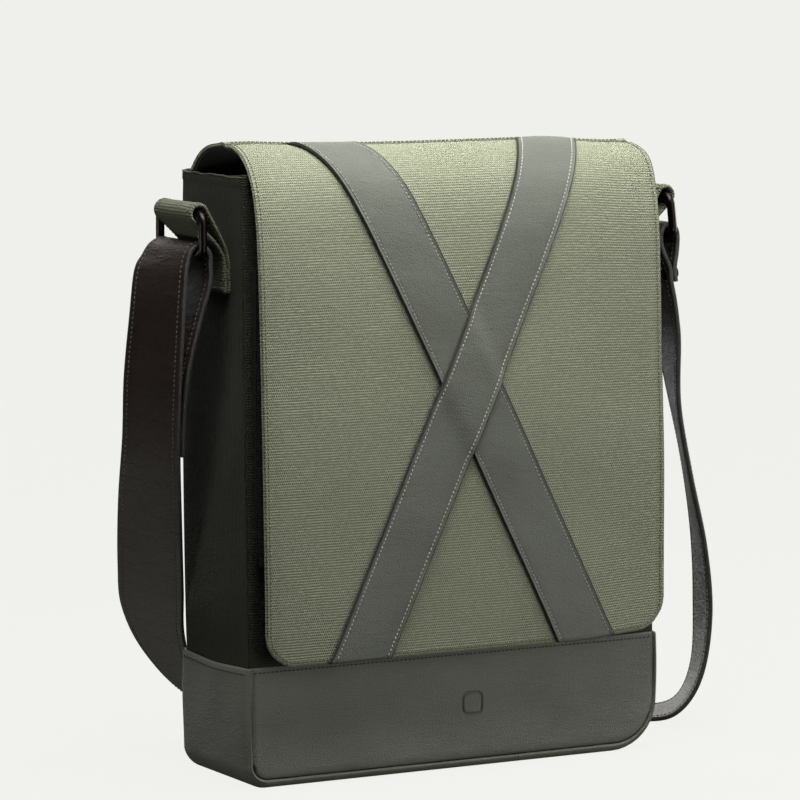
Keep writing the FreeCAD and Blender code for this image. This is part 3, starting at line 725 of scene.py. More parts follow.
def make_base_band():
    """The strip that makes both sides and the bottom. Its long edges turn in to the seams."""
    path = base_path(BASE_TOP)
    turn = np.linspace(0, math.pi / 2, 8)
    edge_y = BASE_Y - 0.4 - 8 * (1 - np.sin(turn))
    edge_in = 4.2 * (1 - np.cos(turn))
    flat = np.linspace(-edge_y[0], edge_y[0], 20)[1:-1]
    y = np.concatenate([-edge_y[::-1], flat, edge_y])
    inward = np.concatenate([edge_in[::-1], np.zeros(len(flat)), edge_in])
    down = np.abs(path[:, 3])
    inward = inward * np.where(path[:, 0] > 0, 1.0, 0.8 + 0.2 * down)[:, None] * (1 + 0.3 * down)[:, None]
    x = path[:, None, 0] - path[:, None, 2] * inward
    z = path[:, None, 1] - path[:, None, 3] * inward
    y = np.broadcast_to(y, x.shape).copy()
    upright = np.abs(path[:, 2])[:, None] > 0.99
    low = np.where(path[:, 0] > 0, RIGHT_R, LEFT_R)[:, None]
    side_share = np.clip((path[:, 1:2] - low) / (BASE_TOP - low), 0, 1)
    x = x + np.where(upright, path[:, None, 2] * (0.7 * np.sin(math.pi * side_share) + 0.3 * ripple(y, z, 22, 3)), 0)
    x = x + path[:, None, 2] * 0.5 * np.cos(y / BASE_Y * math.pi / 2) * (z > 8)
    z = np.where(upright, low + (z - low) * (base_top_edge(y) - low) / (BASE_TOP - low), z)
    z = np.maximum(z, 0.02)
    s = lengths_along(path[:, :2])[:, None]
    points = np.stack([x, y, z], axis=-1)
    band = thick_sheet("base_band", points, 2.4, BASE_LEATHER_LOOK, flat_pattern(y, s))
    finish_piece(band, "bag", nodes=("base_side_left", "base_side_right", "base_bottom"))
    return points


# How far the front and back faces of the base stand in from its sides, and where they begin above the floor.
FACE_IN = 3.4
FACE_LOW = 5.7
BASE_LEATHER = 2.2
BASE_STITCH_DROP = 3.6


def base_face_grid(top):
    """A grid over the face of the base, its lower corners round."""
    half = BASE_X - FACE_IN
    left_r, right_r = LEFT_R - FACE_IN, RIGHT_R - FACE_IN
    turn = np.linspace(0, math.pi / 2, 12)
    left = -half + left_r - left_r * np.sin(turn[::-1])
    right = half - right_r + right_r * np.sin(turn)
    x = np.concatenate([left, np.linspace(left[-1], right[0], 46)[1:-1], right])
    r = np.where(x > 0, right_r, left_r)
    over = np.clip(np.abs(x) - (half - r), 0, r)
    low = FACE_LOW + r - np.sqrt(np.maximum(r * r - over * over, 0))
    share = np.concatenate([[0, 0.03], np.linspace(0.08, 0.92, 17), [0.97, 1]])
    z = low[None] + (top - low)[None] * share[:, None]
    return np.broadcast_to(x, z.shape), z


MARK_X, MARK_Z, MARK_HALF = 9.0, 40.0, 6.5


def debossed_mark(x, z):
    """A plain square frame with round corners, pressed into the leather."""
    p = 4.0
    reach = (np.abs(x - MARK_X) ** p + np.abs(z - MARK_Z) ** p) ** (1 / p)
    return 1.2 * np.exp(-(((reach - MARK_HALF) / 0.75) ** 2))


def make_base_face(name, y_face, outward, nodes, mark):
    top = BASE_TOP - 0.6
    x, z = base_face_grid(top)
    if mark:
        x, z = with_fine_middle(x, z)
    half = BASE_X - FACE_IN
    r = np.where(x > 0, RIGHT_R, LEFT_R) - FACE_IN
    from_corner = np.hypot(np.maximum(np.abs(x) - half + r, 0), np.maximum(FACE_LOW + r - z, 0))
    edge = np.minimum(np.minimum(half - np.abs(x), z - FACE_LOW), r - from_corner)
    roll = 1.1 * (1 - ease(edge / 4.0)) ** 2
    crown = 1.3 * np.clip(1 - (x / half) ** 2, 0, 1) ** 0.6 * np.sin(math.pi * np.clip((z + 8) / (top + 12), 0, 1))
    wave = 0.4 * ripple(x, z, 34, 7 if mark else 8) * ease(edge / 12)
    depth = crown + wave - roll
    if mark:
        depth = depth - debossed_mark(x, z)
    points = np.stack([x, y_face + outward * depth, z], axis=-1)
    face = thick_sheet(name, points, BASE_LEATHER, BASE_LEATHER_LOOK, flat_pattern(x, z), flip=outward > 0)
    finish_piece(face, "bag", nodes=nodes)
    return points


def with_fine_middle(x, z):
    """Adds columns and rows where the mark is pressed in."""
    row_index, col_index = np.arange(x.shape[0]), np.arange(x.shape[1])
    reach, step = 10, 0.3

    def refined(index, at, centre):
        extra = np.interp(np.arange(centre - reach, centre + reach, step), at, index)
        places = np.sort(np.concatenate([index, extra]))
        return places[np.concatenate([[True], np.diff(places) > 0.01])]

    cols = refined(col_index, x[0], MARK_X)
    rows = refined(row_index, z[:, x.shape[1] // 2], MARK_Z)
    fine_x = np.interp(cols, col_index, x[0])
    columns = np.array([np.interp(cols, col_index, row) for row in z]).T
    fine_z = np.stack([np.interp(rows, row_index, column) for column in columns], axis=-1)
    return np.broadcast_to(fine_x, fine_z.shape), fine_z


def make_base():
    band = make_base_band()
    rows = []
    for side, ends in ((-1, (band[0], band[1])), (1, (band[-1], band[-2]))):
        line = (ends[0] + (ends[1] - ends[0]) * 0.8)[5:-5]
        rows.append((line + [side * 0.1, 0, 0], facing([side, 0, 0], len(line))))
    front = make_base_face("base_front_leather", -BASE_Y + 0.9, -1, ("base_front_panel",), True)
    back = make_base_face("base_back_leather", BASE_Y - 0.9, 1, ("base_back_panel",), False)
    for side, points in ((-1, front), (1, back)):
        line = row_on(points, BASE_TOP - BASE_STITCH_DROP, slice(3, -3))
        rows.append((line + [0, side * 0.1, 0], facing([0, side, 0], len(line))))
    sew("base_stitches", rows, DARK_THREAD, "base_leather", "bag")


# --- flap -------------------------------------------------------------------------------------------
# Side view of the flap's outer face, (y, z): at its left edge and over most of its width, and at its
# right edge, where it sits a little lower.
FLAP_LEFT = [(38, 361), (33, 367), (24, 374.5), (13, 379.2), (0, 381.2), (-12, 381.4), (-22, 380), (-31, 376.2),
             (-39, 369.5), (-45, 361), (-49, 351), (-52, 338), (-54.2, 320), (-56, 295), (-58.2, 240), (-60.3, 174),
             (-61.6, 120), (-62, 75)]
FLAP_RIGHT = [(38, 361), (32, 365.5), (23, 371), (12, 375.2), (0, 376.6), (-12, 376.2), (-22, 374.6), (-32, 371.8),
              (-40, 366.5), (-44.8, 358.5), (-47.6, 349.5), (-50.4, 337), (-52.4, 320), (-53.6, 295), (-56, 240),
              (-58.2, 174), (-58.8, 120), (-58.5, 78)]
FLAP_POINTS = 260
LEFT_LINE, RIGHT_LINE = evenly(curve_through(FLAP_LEFT), FLAP_POINTS), evenly(curve_through(FLAP_RIGHT), FLAP_POINTS)
FLAP_LENGTH = lengths_along(LEFT_LINE)[-1]
SEAM_S = np.interp(-SEAM_Y, -LEFT_LINE[:, 0], lengths_along(LEFT_LINE))
FLAP_R = 20.0
FLAP_STITCH_IN = 3.2
LINING_T = 1.5
LINING_LIFT = -FLAP_CANVAS - 0.15
FOLD_BLEND = ("flap_top", "flap_front", (0, SEAM_Y * MM, 0.380), (0, -0.036, 0.380))
BACK_BLEND = ("bag", "flap_top", (0, 0.038, 0.361), (0, 0.026, 0.372))


def flap_at(x, s, lift=0.0):
    """Points of the flap's outer face at width x and length s from its back seam, lift mm above it."""
    place = np.clip(s / FLAP_LENGTH, 0, 1) * (FLAP_POINTS - 1)
    index = np.arange(FLAP_POINTS)
    to_right = ease((x - 64) / 76)

    def line_at(where):
        left = [np.interp(where, index, LEFT_LINE[:, k]) for k in (0, 1)]
        right = [np.interp(where, index, RIGHT_LINE[:, k]) for k in (0, 1)]
        return [a + (b - a) * to_right for a, b in zip(left, right)]

    y, z = line_at(place)
    y1, z1 = line_at(place + 0.6)
    y0, z0 = line_at(place - 0.6)
    run = unit(np.stack([y1 - y0, z1 - z0], -1))
    out_y, out_z = run[..., 1], -run[..., 0]
    # Where the flap hangs free it waves and is slightly crowned, and its side edges lie closer. Over the mouth
    # it sags. The cross seam is sunk, with a swell above it.
    hang = ease((s - 110) / 120)
    push = lift + 0.7 * ripple(x, s, 60, 41) * hang + 1.0 * hang * (1 - (x / FLAP_X) ** 2)
    push = push - 0.45 * ease((np.abs(x) - 126) / 12) * ease((s - 60) / 60)
    push = push - 2.9 * np.clip(1 - np.abs((x - 15) / 135) ** 3, 0, 1) * ease(s / 25) * ease((110 - s) / 60)
    push = push - 0.9 * np.exp(-(((s - SEAM_S) / 1.6) ** 2)) + 0.8 * np.exp(-(((s - SEAM_S + 5) / 3.0) ** 2))
    return np.stack([x + 0 * y, y + out_y * push, z + out_z * push], -1), np.stack([0 * y, out_y, out_z], -1)


def flap_grid(s0, s1, inset, corner_r):
    """Widths and lengths of a grid over the flap from s0 to s1, its far corners rounded."""
    half = FLAP_X - inset
    turn = np.linspace(0, math.pi / 2, 8)
    corner_x = half - corner_r + corner_r * np.sin(turn)
    x = np.concatenate([-corner_x[::-1], np.linspace(-(half - corner_r), half - corner_r, 52)[1:-1], corner_x])
    over = np.clip(np.abs(x) - (half - corner_r), 0, corner_r)
    end = s1 - (corner_r - np.sqrt(np.maximum(corner_r**2 - over**2, 0)) if corner_r > 1 else 0 * x)
    count = max(12, int((s1 - s0) / 4.5))
    share = np.concatenate([[0], np.linspace(0.012, 0.988, count), [1]])
    s = s0 + (end[None] - s0) * share[:, None]
    return np.broadcast_to(x, s.shape), s


def flap_sheet(name, s0, s1, inset, corner_r, lift, thickness, material, blend, nodes, edge=False):
    x, s = flap_grid(s0, s1, inset, corner_r)
    points, normal = flap_at(x, s, lift)
    if edge:
        near = FLAP_X - inset - np.abs(x)
        sink = 0.45 * np.exp(-(((near - 4.2) / 1.0) ** 2))
        points = points - normal * sink[..., None]
    piece = thick_sheet(name, points, thickness, material, flat_pattern(x, s), flip=True)
    finish_piece(piece, blend=blend, nodes=nodes)


def flap_rows(inset):
    """Lines of stitching inset mm inside the flap's edge: down the left, round the bottom, up the right."""
    half, r = FLAP_X - inset, FLAP_R - inset
    end = FLAP_LENGTH - inset
    down = np.linspace(SEAM_S + 2, end - r, 90)
    turn = np.linspace(0, math.pi / 2, 12)[1:]
    flat = np.linspace(-(half - r), half - r, 70)[1:-1]
    left_x = np.concatenate([np.full(len(down), -half), -(half - r) - r * np.cos(turn)])
    left_s = np.concatenate([down, end - r + r * np.sin(turn)])
    x = np.concatenate([left_x, flat, -left_x[::-1]])
    s = np.concatenate([left_s, np.full(len(flat), end), left_s[::-1]])
    return x, s


def make_flap():
    end = FLAP_LENGTH - 0.2
    flap_sheet("flap_front_cloth", SEAM_S + 0.2, end, 0, FLAP_R, 0, FLAP_CANVAS, FLAP_CANVAS_LOOK,
               FOLD_BLEND, ("flap_front_canvas", "flap_stiffener"), edge=True)
    flap_sheet("flap_front_inside", SEAM_S + 0.2, end - 1.2, 1.2, FLAP_R - 1, LINING_LIFT, LINING_T, LINING_LOOK,
               FOLD_BLEND, ("flap_front_lining",))
    flap_sheet("flap_top_cloth", 0, SEAM_S - 0.1, 0, 0.5, 0, FLAP_CANVAS, FLAP_CANVAS_LOOK,
               BACK_BLEND, ("flap_top_canvas",))
    flap_sheet("flap_top_inside", 0.5, SEAM_S - 0.3, 1.2, 0.5, LINING_LIFT, LINING_T, LINING_LOOK,
               BACK_BLEND, ("flap_top_lining",))
    x = np.linspace(-FLAP_X + 4, FLAP_X - 4, 60)
    seam_s = np.full(60, SEAM_S + FLAP_STITCH_IN)
    rows = [flap_at(*flap_rows(FLAP_STITCH_IN), -0.05), flap_at(x, seam_s, 0.05)]
    sew("flap_stitches", rows, OLIVE_THREAD, "flap_canvas", blend=FOLD_BLEND, pitch=2.7, length=2.0)
    top_rows = [flap_at(x, np.full(60, SEAM_S - 3.0), 0.05)]
    sew("flap_top_stitches", top_rows, OLIVE_THREAD, "flap_canvas", body="flap_top")


# --- crossed straps on the flap ---------------------------------------------------------------------
CROSS_HALF = 21.0
CROSS_T = 2.3
CROSS_GROOVE_IN, CROSS_STITCH_IN = 3.6, 3.8
OVER_TOP, OVER_END = 79.0, -77.0
UNDER_TOP, UNDER_END = -81.0, 79.5


def cross_middle(s, top, end):
    share = (s - SEAM_S) / (FLAP_LENGTH - SEAM_S)
    return top + (end - top) * share


def cross_lift(x, s, over):
    """The upper strap climbs over the lower one where they cross."""
    if not over:
        return 0 * x
    away = np.abs(x - cross_middle(s, UNDER_TOP, UNDER_END))
    return (CROSS_T - 0.2) * ease((CROSS_HALF + 8 - away) / 14)


def cross_height(s, above):
    """How high the strap's face stands over the flap. Its top end thins out into the cross seam."""
    tuck = ease((s - SEAM_S) / 10)
    return 0.1 + CROSS_T * (0.25 + 0.75 * tuck) + above * tuck


def make_cross_strap(name, top, end, over, thread, nodes):
    edge = [0, 0.9, 2.0, 3.0, 3.6, 4.4, 6.0]
    left = np.array([-CROSS_HALF + e for e in edge])
    w = np.concatenate([left, np.linspace(-12, 12, 9), -left[::-1]])
    s = np.linspace(SEAM_S + 0.1, FLAP_LENGTH - 0.6, 150)
    w, s = np.meshgrid(w, s)
    x = cross_middle(s, top, end) + w
    inward = CROSS_HALF - np.abs(w)
    groove = 0.40 * np.exp(-(((inward - CROSS_GROOVE_IN) / 0.8) ** 2))
    rolled = 0.35 * np.exp(-(((inward - 1.6) / 1.1) ** 2))
    wave = 0.18 * ripple(w, s, 20, 51 + over) + 0.25 * (1 - (w / CROSS_HALF) ** 2)
    points = flap_at(x, s, cross_height(s, cross_lift(x, s, over) - groove + rolled + wave))[0]
    thickness = CROSS_T * (0.3 + 0.7 * ease((s - SEAM_S) / 10))
    strap = thick_sheet(name, points, thickness, CROSS_LEATHER_LOOK, flat_pattern(w, s + 700 * over), flip=True)
    finish_piece(strap, blend=FOLD_BLEND, nodes=nodes)
    rows = []
    for side in (-1, 1):
        line_s = np.linspace(SEAM_S + 1, FLAP_LENGTH - 2, 160)
        line_x = cross_middle(line_s, top, end) + side * (CROSS_HALF - CROSS_STITCH_IN)
        height = cross_height(line_s, cross_lift(line_x, line_s, over) - 0.12)
        rows.append(flap_at(line_x, line_s, height))
    sew(name + "_stitches", rows, thread, "base_leather", blend=FOLD_BLEND, pitch=2.6, length=1.9, radius=0.38)


def make_cross_straps():
    make_cross_strap("cross_strap_lower", UNDER_TOP, UNDER_END, 0, GREY_THREAD, ("cross_strap_under",))
    make_cross_strap("cross_strap_upper", OVER_TOP, OVER_END, 1, LIGHT_THREAD, ("cross_strap_over",))


# --- shoulder strap ---------------------------------------------------------------------------------
# The CAD strap's route, but turned a little further round the bag's back left corner: x, y, z of its middle
# line, then in degrees how far its back edge is swung outwards and how far it is raised.
STRAP_ROUTE = [
    (-168.9, 20.9, 200, -18, 10), (-170.4, 16.6, 218, -16, 8), (-168.6, 9, 250, -10, 6), (-160.6, 5, 280, -4, 5),
    (-154.2, 2.5, 300, -1, 3), (-153.6, 2.5, 311, -1, 2), (-154.9, 2.5, 319.2, -2, 1), (-160.8, 2.5, 323.5, -2, 1),
    (-167.2, 2.5, 320.6, -4, 1), (-171, 2.6, 313.6, -7, 2), (-174.0, 3, 304, -12, 3), (-175.4, 5.5, 278, -14, 4),
    (-175.3, 12.5, 238, -17, 8), (-172.0, 22, 200, -18, 10), (-167, 35, 160, -25, 12), (-157.2, 55.5, 117, -30, 16),
    (-146.6, 74.5, 85, -29, 20), (-128, 87.5, 53, -20, 20), (-96, 101, 23, -8, 16), (-50.0, 108, 8, -4, 9),
    (0.0, 110.5, 3.6, 0, 2), (50.0, 108.5, 3.2, 11, 0), (104.0, 100.5, 3.2, 23, 0), (157.5, 76.5, 3.0, 33, 0),
    (185.0, 49.5, 3.2, 33, 0), (200.0, 28, 10, 32, 2), (210.5, 19.5, 34, 26, 4), (212.0, 15, 75, 20, 5),
    (205.0, 9, 120, 22, 5), (192.5, 4, 168, 26, 5), (182.0, 2.5, 212, 24, 4), (177.0, 2.5, 250, 14, 2),
    (173.4, 2.5, 264, 9, 1), (169.6, 2.5, 277, 5, 1), (165.9, 2.5, 288, 2, 1), (164.5, 2.5, 296, 1, 1),
    (160.4, 2.5, 304, 0, 1), (157.6, 2.5, 311, 0, 1), (157.7, 2.5, 317.7, 0, 0), (159.9, 2.5, 322, 0, 0),
    (164.3, 2.5, 323.1, 0, 0), (168.2, 2.5, 320.2, 0, 0), (169.4, 2.5, 314.5, 0, 0), (168.8, 2.5, 306, 0, 1),
    (167.8, 2.5, 296, 1, 1), (169.2, 2.5, 288, 2, 1),
]
RIVET_AT, RIVET_AXIS, RIVET_SPREAD = (166.85, 292.5), (0.985, 0, 0.172), 18.0
STRAP_STITCH_IN = 4.6


def strap_frames():
    line = curve_through(STRAP_ROUTE, 10)
    swing, rise = np.radians(line[:, 3]), np.radians(line[:, 4])
    across = np.stack([np.sin(swing) * np.cos(rise), np.cos(swing) * np.cos(rise), np.sin(rise)], -1)
    middle = line[:, :3]
    run = unit(np.gradient(middle, axis=0))
    outward = unit(np.cross(across, run))
    return middle, across, outward


def make_shoulder_strap():
    middle, across, outward = strap_frames()
    profile = strip_profile(STRAP_HALF, STRAP_T, groove_in=STRAP_STITCH_IN, groove=0.22, puff=0.12)
    strap = swept("shoulder_strap_leather", middle, across, outward, profile, STRAP_LEATHER_LOOK)
    finish_piece(strap, "strap", nodes=("shoulder_strap",))
    rows = []
    for w in (-1, 1):
        for h in (-1, 1):
            line = middle + across * w * (STRAP_HALF - STRAP_STITCH_IN) + outward * h * (STRAP_T / 2 - 0.12)
            rows.append((line, outward * h))
    sew("shoulder_strap_stitches", rows, BROWN_THREAD, "strap_leather", "strap", pitch=3.0, length=2.1)


def make_rivets():
    axis = unit(np.array(RIVET_AXIS))
    head = [(0.2, 0.9), (1.6, 1.1), (3.0, 1.0), (4.0, 0.6), (4.4, 0.0), (4.2, -0.5), (2.0, -0.6), (2.0, -3)]
    pieces = []
    for k, y in enumerate((TAB_Y - RIVET_SPREAD, TAB_Y + RIVET_SPREAD)):
        centre = np.array([RIVET_AT[0], y, RIVET_AT[1]])
        for side in (-1, 1):
            pieces.append(turned("rivet_%d_%d" % (k, side), head, centre + axis * side * 3.9, axis * side, METAL_LOOK))
    finish_piece(join("strap_rivet_heads", pieces), "strap", nodes=("strap_rivets",))


# --- tabs and rings ---------------------------------------------------------------------------------
RING_X, RING_TOP = 160.5, 341.5
TAB_LOW = 294.0
TAB_T = 2.0


def tab_path():
    """Left tab in front view, (x, z): up the side, round the ring's upper bar, and back down."""
    radius = 5.3
    upper = math.radians(33)
    lower = math.radians(33 + 180 + 14)
    turn = np.linspace(upper, lower, 13)
    ring = [(-RING_X + radius * math.cos(t), RING_TOP + radius * math.sin(t)) for t in turn]
    start = [(-HALF_W - 1.3, TAB_LOW), (-HALF_W - 1.3, TAB_LOW + 10), (-HALF_W - 1.6, 313), (-HALF_W - 4.5, 323)]
    finish = [(-HALF_W - 11.0, 325), (-HALF_W - 5.0, 316), (-HALF_W - 3.7, 308), (-HALF_W - 3.6, TAB_LOW)]
    return start + ring + finish


def make_tab(name, side, node):
    line = evenly(curve_through(tab_path()), 90)
    middle, across = straight_row(line[:, 0] * -side, TAB_Y, line[:, 1], [0, 1, 0])
    run = unit(np.gradient(middle, axis=0))
    outward = unit(np.cross(across, run))
    profile = strip_profile(STRAP_HALF, TAB_T, groove_in=3.5, groove=0.25, puff=0.2)
    tab = swept(name, middle, across, outward, profile, TAB_CANVAS_LOOK)
    finish_piece(tab, "bag", nodes=(node,))
    rows = []
    for w in (-1, 1):
        for inset in (2.2, 5.0):
            for h in (-1, 1):
                line = middle + across * w * (STRAP_HALF - inset) + outward * h * (TAB_T / 2 + 0.05)
                rows.append((line, outward * h))
    x = side * (HALF_W + 4.9)
    for z in (296.5, 311.0, 312.2):
        y = np.linspace(TAB_Y - STRAP_HALF + 2, TAB_Y + STRAP_HALF - 2, 30)
        rows.append(straight_row(x, y, z, [side, 0, 0]))
    sew(name + "_stitches", rows, OLIVE_THREAD, "tab_canvas", "bag", pitch=2.6, length=1.9)


# --- pocket under the flap and the snaps ------------------------------------------------------------
SNAP_X, SNAP_Z = 75.0, 150.0
HEM_Z, HEM_T = 272, 0.25


def make_front_pocket():
    low, high = node_box("front_pocket_panel")
    half, face = high[0], low[1]
    edge = np.array([-half, -half + 0.2, -half + 1.2])
    x = np.concatenate([edge, np.linspace(-half + 5, half - 5, 50), -edge[::-1]])
    z = np.linspace(low[2] + 0.6, high[2] - 0.6, 50)
    x, z = np.meshgrid(x, z)

    def face_y(x, z):
        return face + 0.3 + 0.25 * ripple(x, z, 40, 61) * ease((half - np.abs(x)) / 20)

    near = half - np.abs(x)
    back = np.where(near < 3, (3 - near) / 3, 0) ** 2 * 3.6
    hem = HEM_T * (z > HEM_Z) * ease((z - HEM_Z) / 1.5)
    points = np.stack([x, face_y(x, z) + back - hem, z], -1)
    # The pocket's cloth and its side strip use the canvas darkened as painted shade.
    panel = thick_sheet("front_pocket_cloth", points, 1.6, SHADED_POCKET_CANVAS_LOOK, flat_pattern(x, z))
    finish_piece(panel, "bag", nodes=("front_pocket_panel",))
    make_pocket_gusset(half, low[2], high[2], face)
    line_x = np.linspace(-half + 4, half - 4, 60)
    rows = []
    for z0 in (low[2] + 3, low[2] + 6, HEM_Z + 0.5, high[2] - 4):
        line_y = face_y(line_x, z0) - 0.1 - (HEM_T if z0 > HEM_Z else 0)
        rows.append(straight_row(line_x, line_y, z0, [0, -1, 0]))
    sew("front_pocket_stitches", rows, DARK_THREAD, "body_canvas", "bag")


def make_pocket_gusset(half, low_z, high_z, face):
    """The narrow strip that joins the pocket to the body at both sides and along the bottom."""
    x_side, r = half - 0.6, 7.0
    turn = np.linspace(0, math.pi / 2, 10)
    left = [(-x_side, z) for z in np.linspace(high_z - 2, low_z + 1 + r, 30, endpoint=False)]
    left += [(-x_side + r * (1 - math.cos(t)), low_z + 1 + r * (1 - math.sin(t))) for t in turn]
    line = evenly(np.array(left + [(-x, z) for x, z in left[::-1]]), 160)
    share = np.linspace(0, 1, 9)
    depth = front_y(line[:, 1]) + 0.4 - (face + 2.0)
    y = face + 2.0 + depth[:, None] * share
    crumple = 0.5 * np.sin(share * math.pi)[None] + 0.15 * ripple(line[:, :1], line[:, 1:], 15, 63)
    out = unit(np.stack([np.gradient(line[:, 1]), -np.gradient(line[:, 0])], -1))
    x = line[:, :1] - out[:, :1] * crumple * 0.6
    z = line[:, 1:] - out[:, 1:] * crumple * 0.6
    points = np.stack([x, y, z], -1)
    s = lengths_along(line)[:, None]
    strip = thick_sheet("front_pocket_side", points, 1.2, SHADED_POCKET_CANVAS_LOOK, flat_pattern(y, s + 0 * y))
    finish_piece(strip, "bag", nodes=("front_pocket_gusset",))


def make_snaps():
    socket = [(1.2, 0.4), (2.6, 0.4), (3.0, 1.4), (4.0, 1.7), (5.4, 1.6), (6.4, 1.0), (8.2, 0.8), (8.8, 0.4),
              (8.9, 0.0)]
    stud = [(0.3, 1.7), (1.8, 1.6), (2.2, 1.2), (2.0, 0.7), (3.6, 0.5), (6.5, 0.6), (8.3, 0.5), (8.8, 0.2),
            (8.9, -0.4)]
    socket_y, stud_y = node_box("snap_sockets")[1][1] - 0.05, node_box("snap_studs")[1][1] - 1.8
    sockets, studs = [], []
    for k, x in enumerate((-SNAP_X, SNAP_X)):
        sockets.append(turned("socket_%d" % k, socket, (x, socket_y, SNAP_Z), (0, -1, 0), METAL_LOOK))
        studs.append(turned("stud_%d" % k, stud, (x, stud_y, SNAP_Z), (0, 1, 0), METAL_LOOK))
    finish_piece(join("snap_socket_rims", sockets), "bag", nodes=("snap_sockets",))
    finish_piece(join("snap_stud_caps", studs), "flap_front", nodes=("snap_studs",))


# --- inside pockets ---------------------------------------------------------------------------------
SLEEVE_CHANNELS = (-91, -45.5, 0, 45.5, 91)


def make_sleeve():
    """The padded panel that parts the laptop space from the main compartment, with its bound top."""
    low, high = node_box("laptop_sleeve_panel")
    half, middle_y = high[0], (low[1] + high[1]) / 2
    x = np.linspace(-half, half, 56)
    z = np.concatenate([np.linspace(low[2] + 1, high[2] - 12, 52), high[2] - np.array([9, 7.5, 5, 1])])
    x, z = np.meshgrid(x, z)
    x = x * low_squeeze(z)
    channel = sum(np.exp(-(((x - c) / 1.6) ** 2)) for c in SLEEVE_CHANNELS)
    pad = 2.9 - 0.7 * channel * (z < high[2] - 12) + 0.2 * ripple(x, z, 30, 71)
    pad = pad * (0.45 + 0.55 * ease((half - np.abs(x)) / 7))
    pad = np.where(z > high[2] - 8.2, 2.7, pad)
    points = np.stack([x, middle_y - pad, z], -1)
    sleeve = thick_sheet("laptop_sleeve", points, 2 * pad, LINING_LOOK, flat_pattern(x, z))
    finish_piece(sleeve, "bag", nodes=("laptop_sleeve_panel",))


def make_slip_pocket():
    low, high = node_box("inner_slip_pocket")
    half, front = high[0], high[1]
    edge = np.array([-half, -half + 1, -half + 2.5, -half + 5])
    x = np.concatenate([edge, np.linspace(-half + 10, half - 10, 36), -edge[::-1]])
    z = np.linspace(low[2] + 1, high[2] - 0.5, 34)
    x, z = np.meshgrid(x, z)
    near = half - np.abs(x)
    wall = front_y(z, 3.4)
    y = wall + (front - 0.2 - wall) * ease(near / 4.5) * ease((z - low[2] + 3) / 8)
    y = y - 0.3 * ripple(x, z, 30, 81) ** 2
    hem = 0.3 * ease((z - (high[2] - 14)) / 1.5)
    points = np.stack([x, y + hem - 0.3, z], -1)
    pocket = thick_sheet("inner_slip_pocket_cloth", points, 1.0, LINING_LOOK, flat_pattern(x, z), flip=True)
    finish_piece(pocket, "bag", nodes=("inner_slip_pocket",))
    rows = [straight_row(x[0], y[-4] + 0.15, high[2] - 14, [0, 1, 0])]
    sew("inner_slip_pocket_stitches", rows, GREY_THREAD, "lining_cloth", "bag")


def flat_cloth(name, x0, x1, z0, z1, y_front, thickness, material, seed):
    """A nearly flat upright cloth with slight waves."""
    x, z = np.meshgrid(np.linspace(x0, x1, 50), np.linspace(z0, z1, max(6, int((z1 - z0) / 4))))
    y = y_front + 0.12 * ripple(x, z, 26, seed)
    return thick_sheet(name, np.stack([x, y, z], -1), thickness, material, flat_pattern(x, z))


COIL_PITCH = 1.45


def make_zip():
    cloth_low, cloth_high = node_box("zip_pocket_cloth")
    tape_low, tape_high = node_box("zip_tape")
    coil_low, coil_high = node_box("zip_coil")
    y = cloth_low[1]
    x0, x1 = cloth_low[0], cloth_high[0]
    lower = flat_cloth("zip_cloth_lower", x0, x1, cloth_low[2], tape_low[2] + 4, y - 0.3, 0.9, LINING_LOOK, 91)
    upper = flat_cloth("zip_cloth_upper", x0, x1, tape_high[2] - 4, cloth_high[2], y - 0.3, 0.9, LINING_LOOK, 92)
    finish_piece(join("zip_pocket_front", [lower, upper]), "bag", nodes=("zip_pocket_cloth",))
    tape = flat_cloth("zip_tape_weave", tape_low[0], tape_high[0], tape_low[2], tape_high[2], tape_low[1] + 0.1,
                      0.7, TAPE_LOOK, 93)
    finish_piece(tape, "bag", nodes=("zip_tape",))
    z = (coil_low[2] + coil_high[2]) / 2
    ends = np.array([z - 2.1, z + 2.1])
    turns = np.arange(coil_low[0] + 0.8, coil_high[0], COIL_PITCH)
    rows = [straight_row(x, coil_low[1] + 0.9, ends, [0, -1, 0]) for x in turns]
    coil = stitches("zip_coil_turns", rows, COIL_LOOK, pitch=4.0, length=4.2, radius=0.62)
    finish_piece(coil, "bag", nodes=("zip_coil",))
    line_x = np.linspace(-97, 97, 40)
    rows = [straight_row(line_x, y - 0.5, line_z, [0, -1, 0]) for line_z in (tape_low[2] + 2.6, tape_high[2] - 2.6)]
    sew("zip_stitches", rows, GREY_THREAD, "lining_cloth", "bag")


# --- CAD pieces that stay ---------------------------------------------------------------------------
def dress_cad_nodes():
    looks = {
        "ring_left": METAL_LOOK,
        "ring_right": METAL_LOOK,
        "zip_slider": METAL_LOOK,
        "zip_pull": METAL_LOOK,
        "zip_end_stops": METAL_LOOK,
        "back_foam": FOAM_LOOK,
        "base_board": BOARD_LOOK,
    }
    for name, look in looks.items():
        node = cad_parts[name]
        node.data.materials.clear()
        node.data.materials.append(look)
        for polygon in node.data.polygons:
            polygon.use_smooth = True


# --- stage, light and camera ------------------------------------------------------------------------
def make_stage():
    size = 60.0
    corners = [(-size, -size, 0), (size, -size, 0), (size, size, 0), (-size, size, 0)]
    mesh = bpy.data.meshes.new("floor")
    mesh.from_pydata(corners, [], [(0, 1, 2, 3)])
    floor = add_object("floor", mesh)
    look = Shader("floor_paint")
    glow = {"Emission_Color": (0.880, 0.888, 0.850, 1), "Emission_Strength": 0.975}
    mesh.materials.append(look.set(Base_Color=(0.02, 0.02, 0.02, 1), Roughness=1.0, Specular_IOR_Level=0.0, **glow))
    floor.visible_diffuse = False
    floor.visible_glossy = False


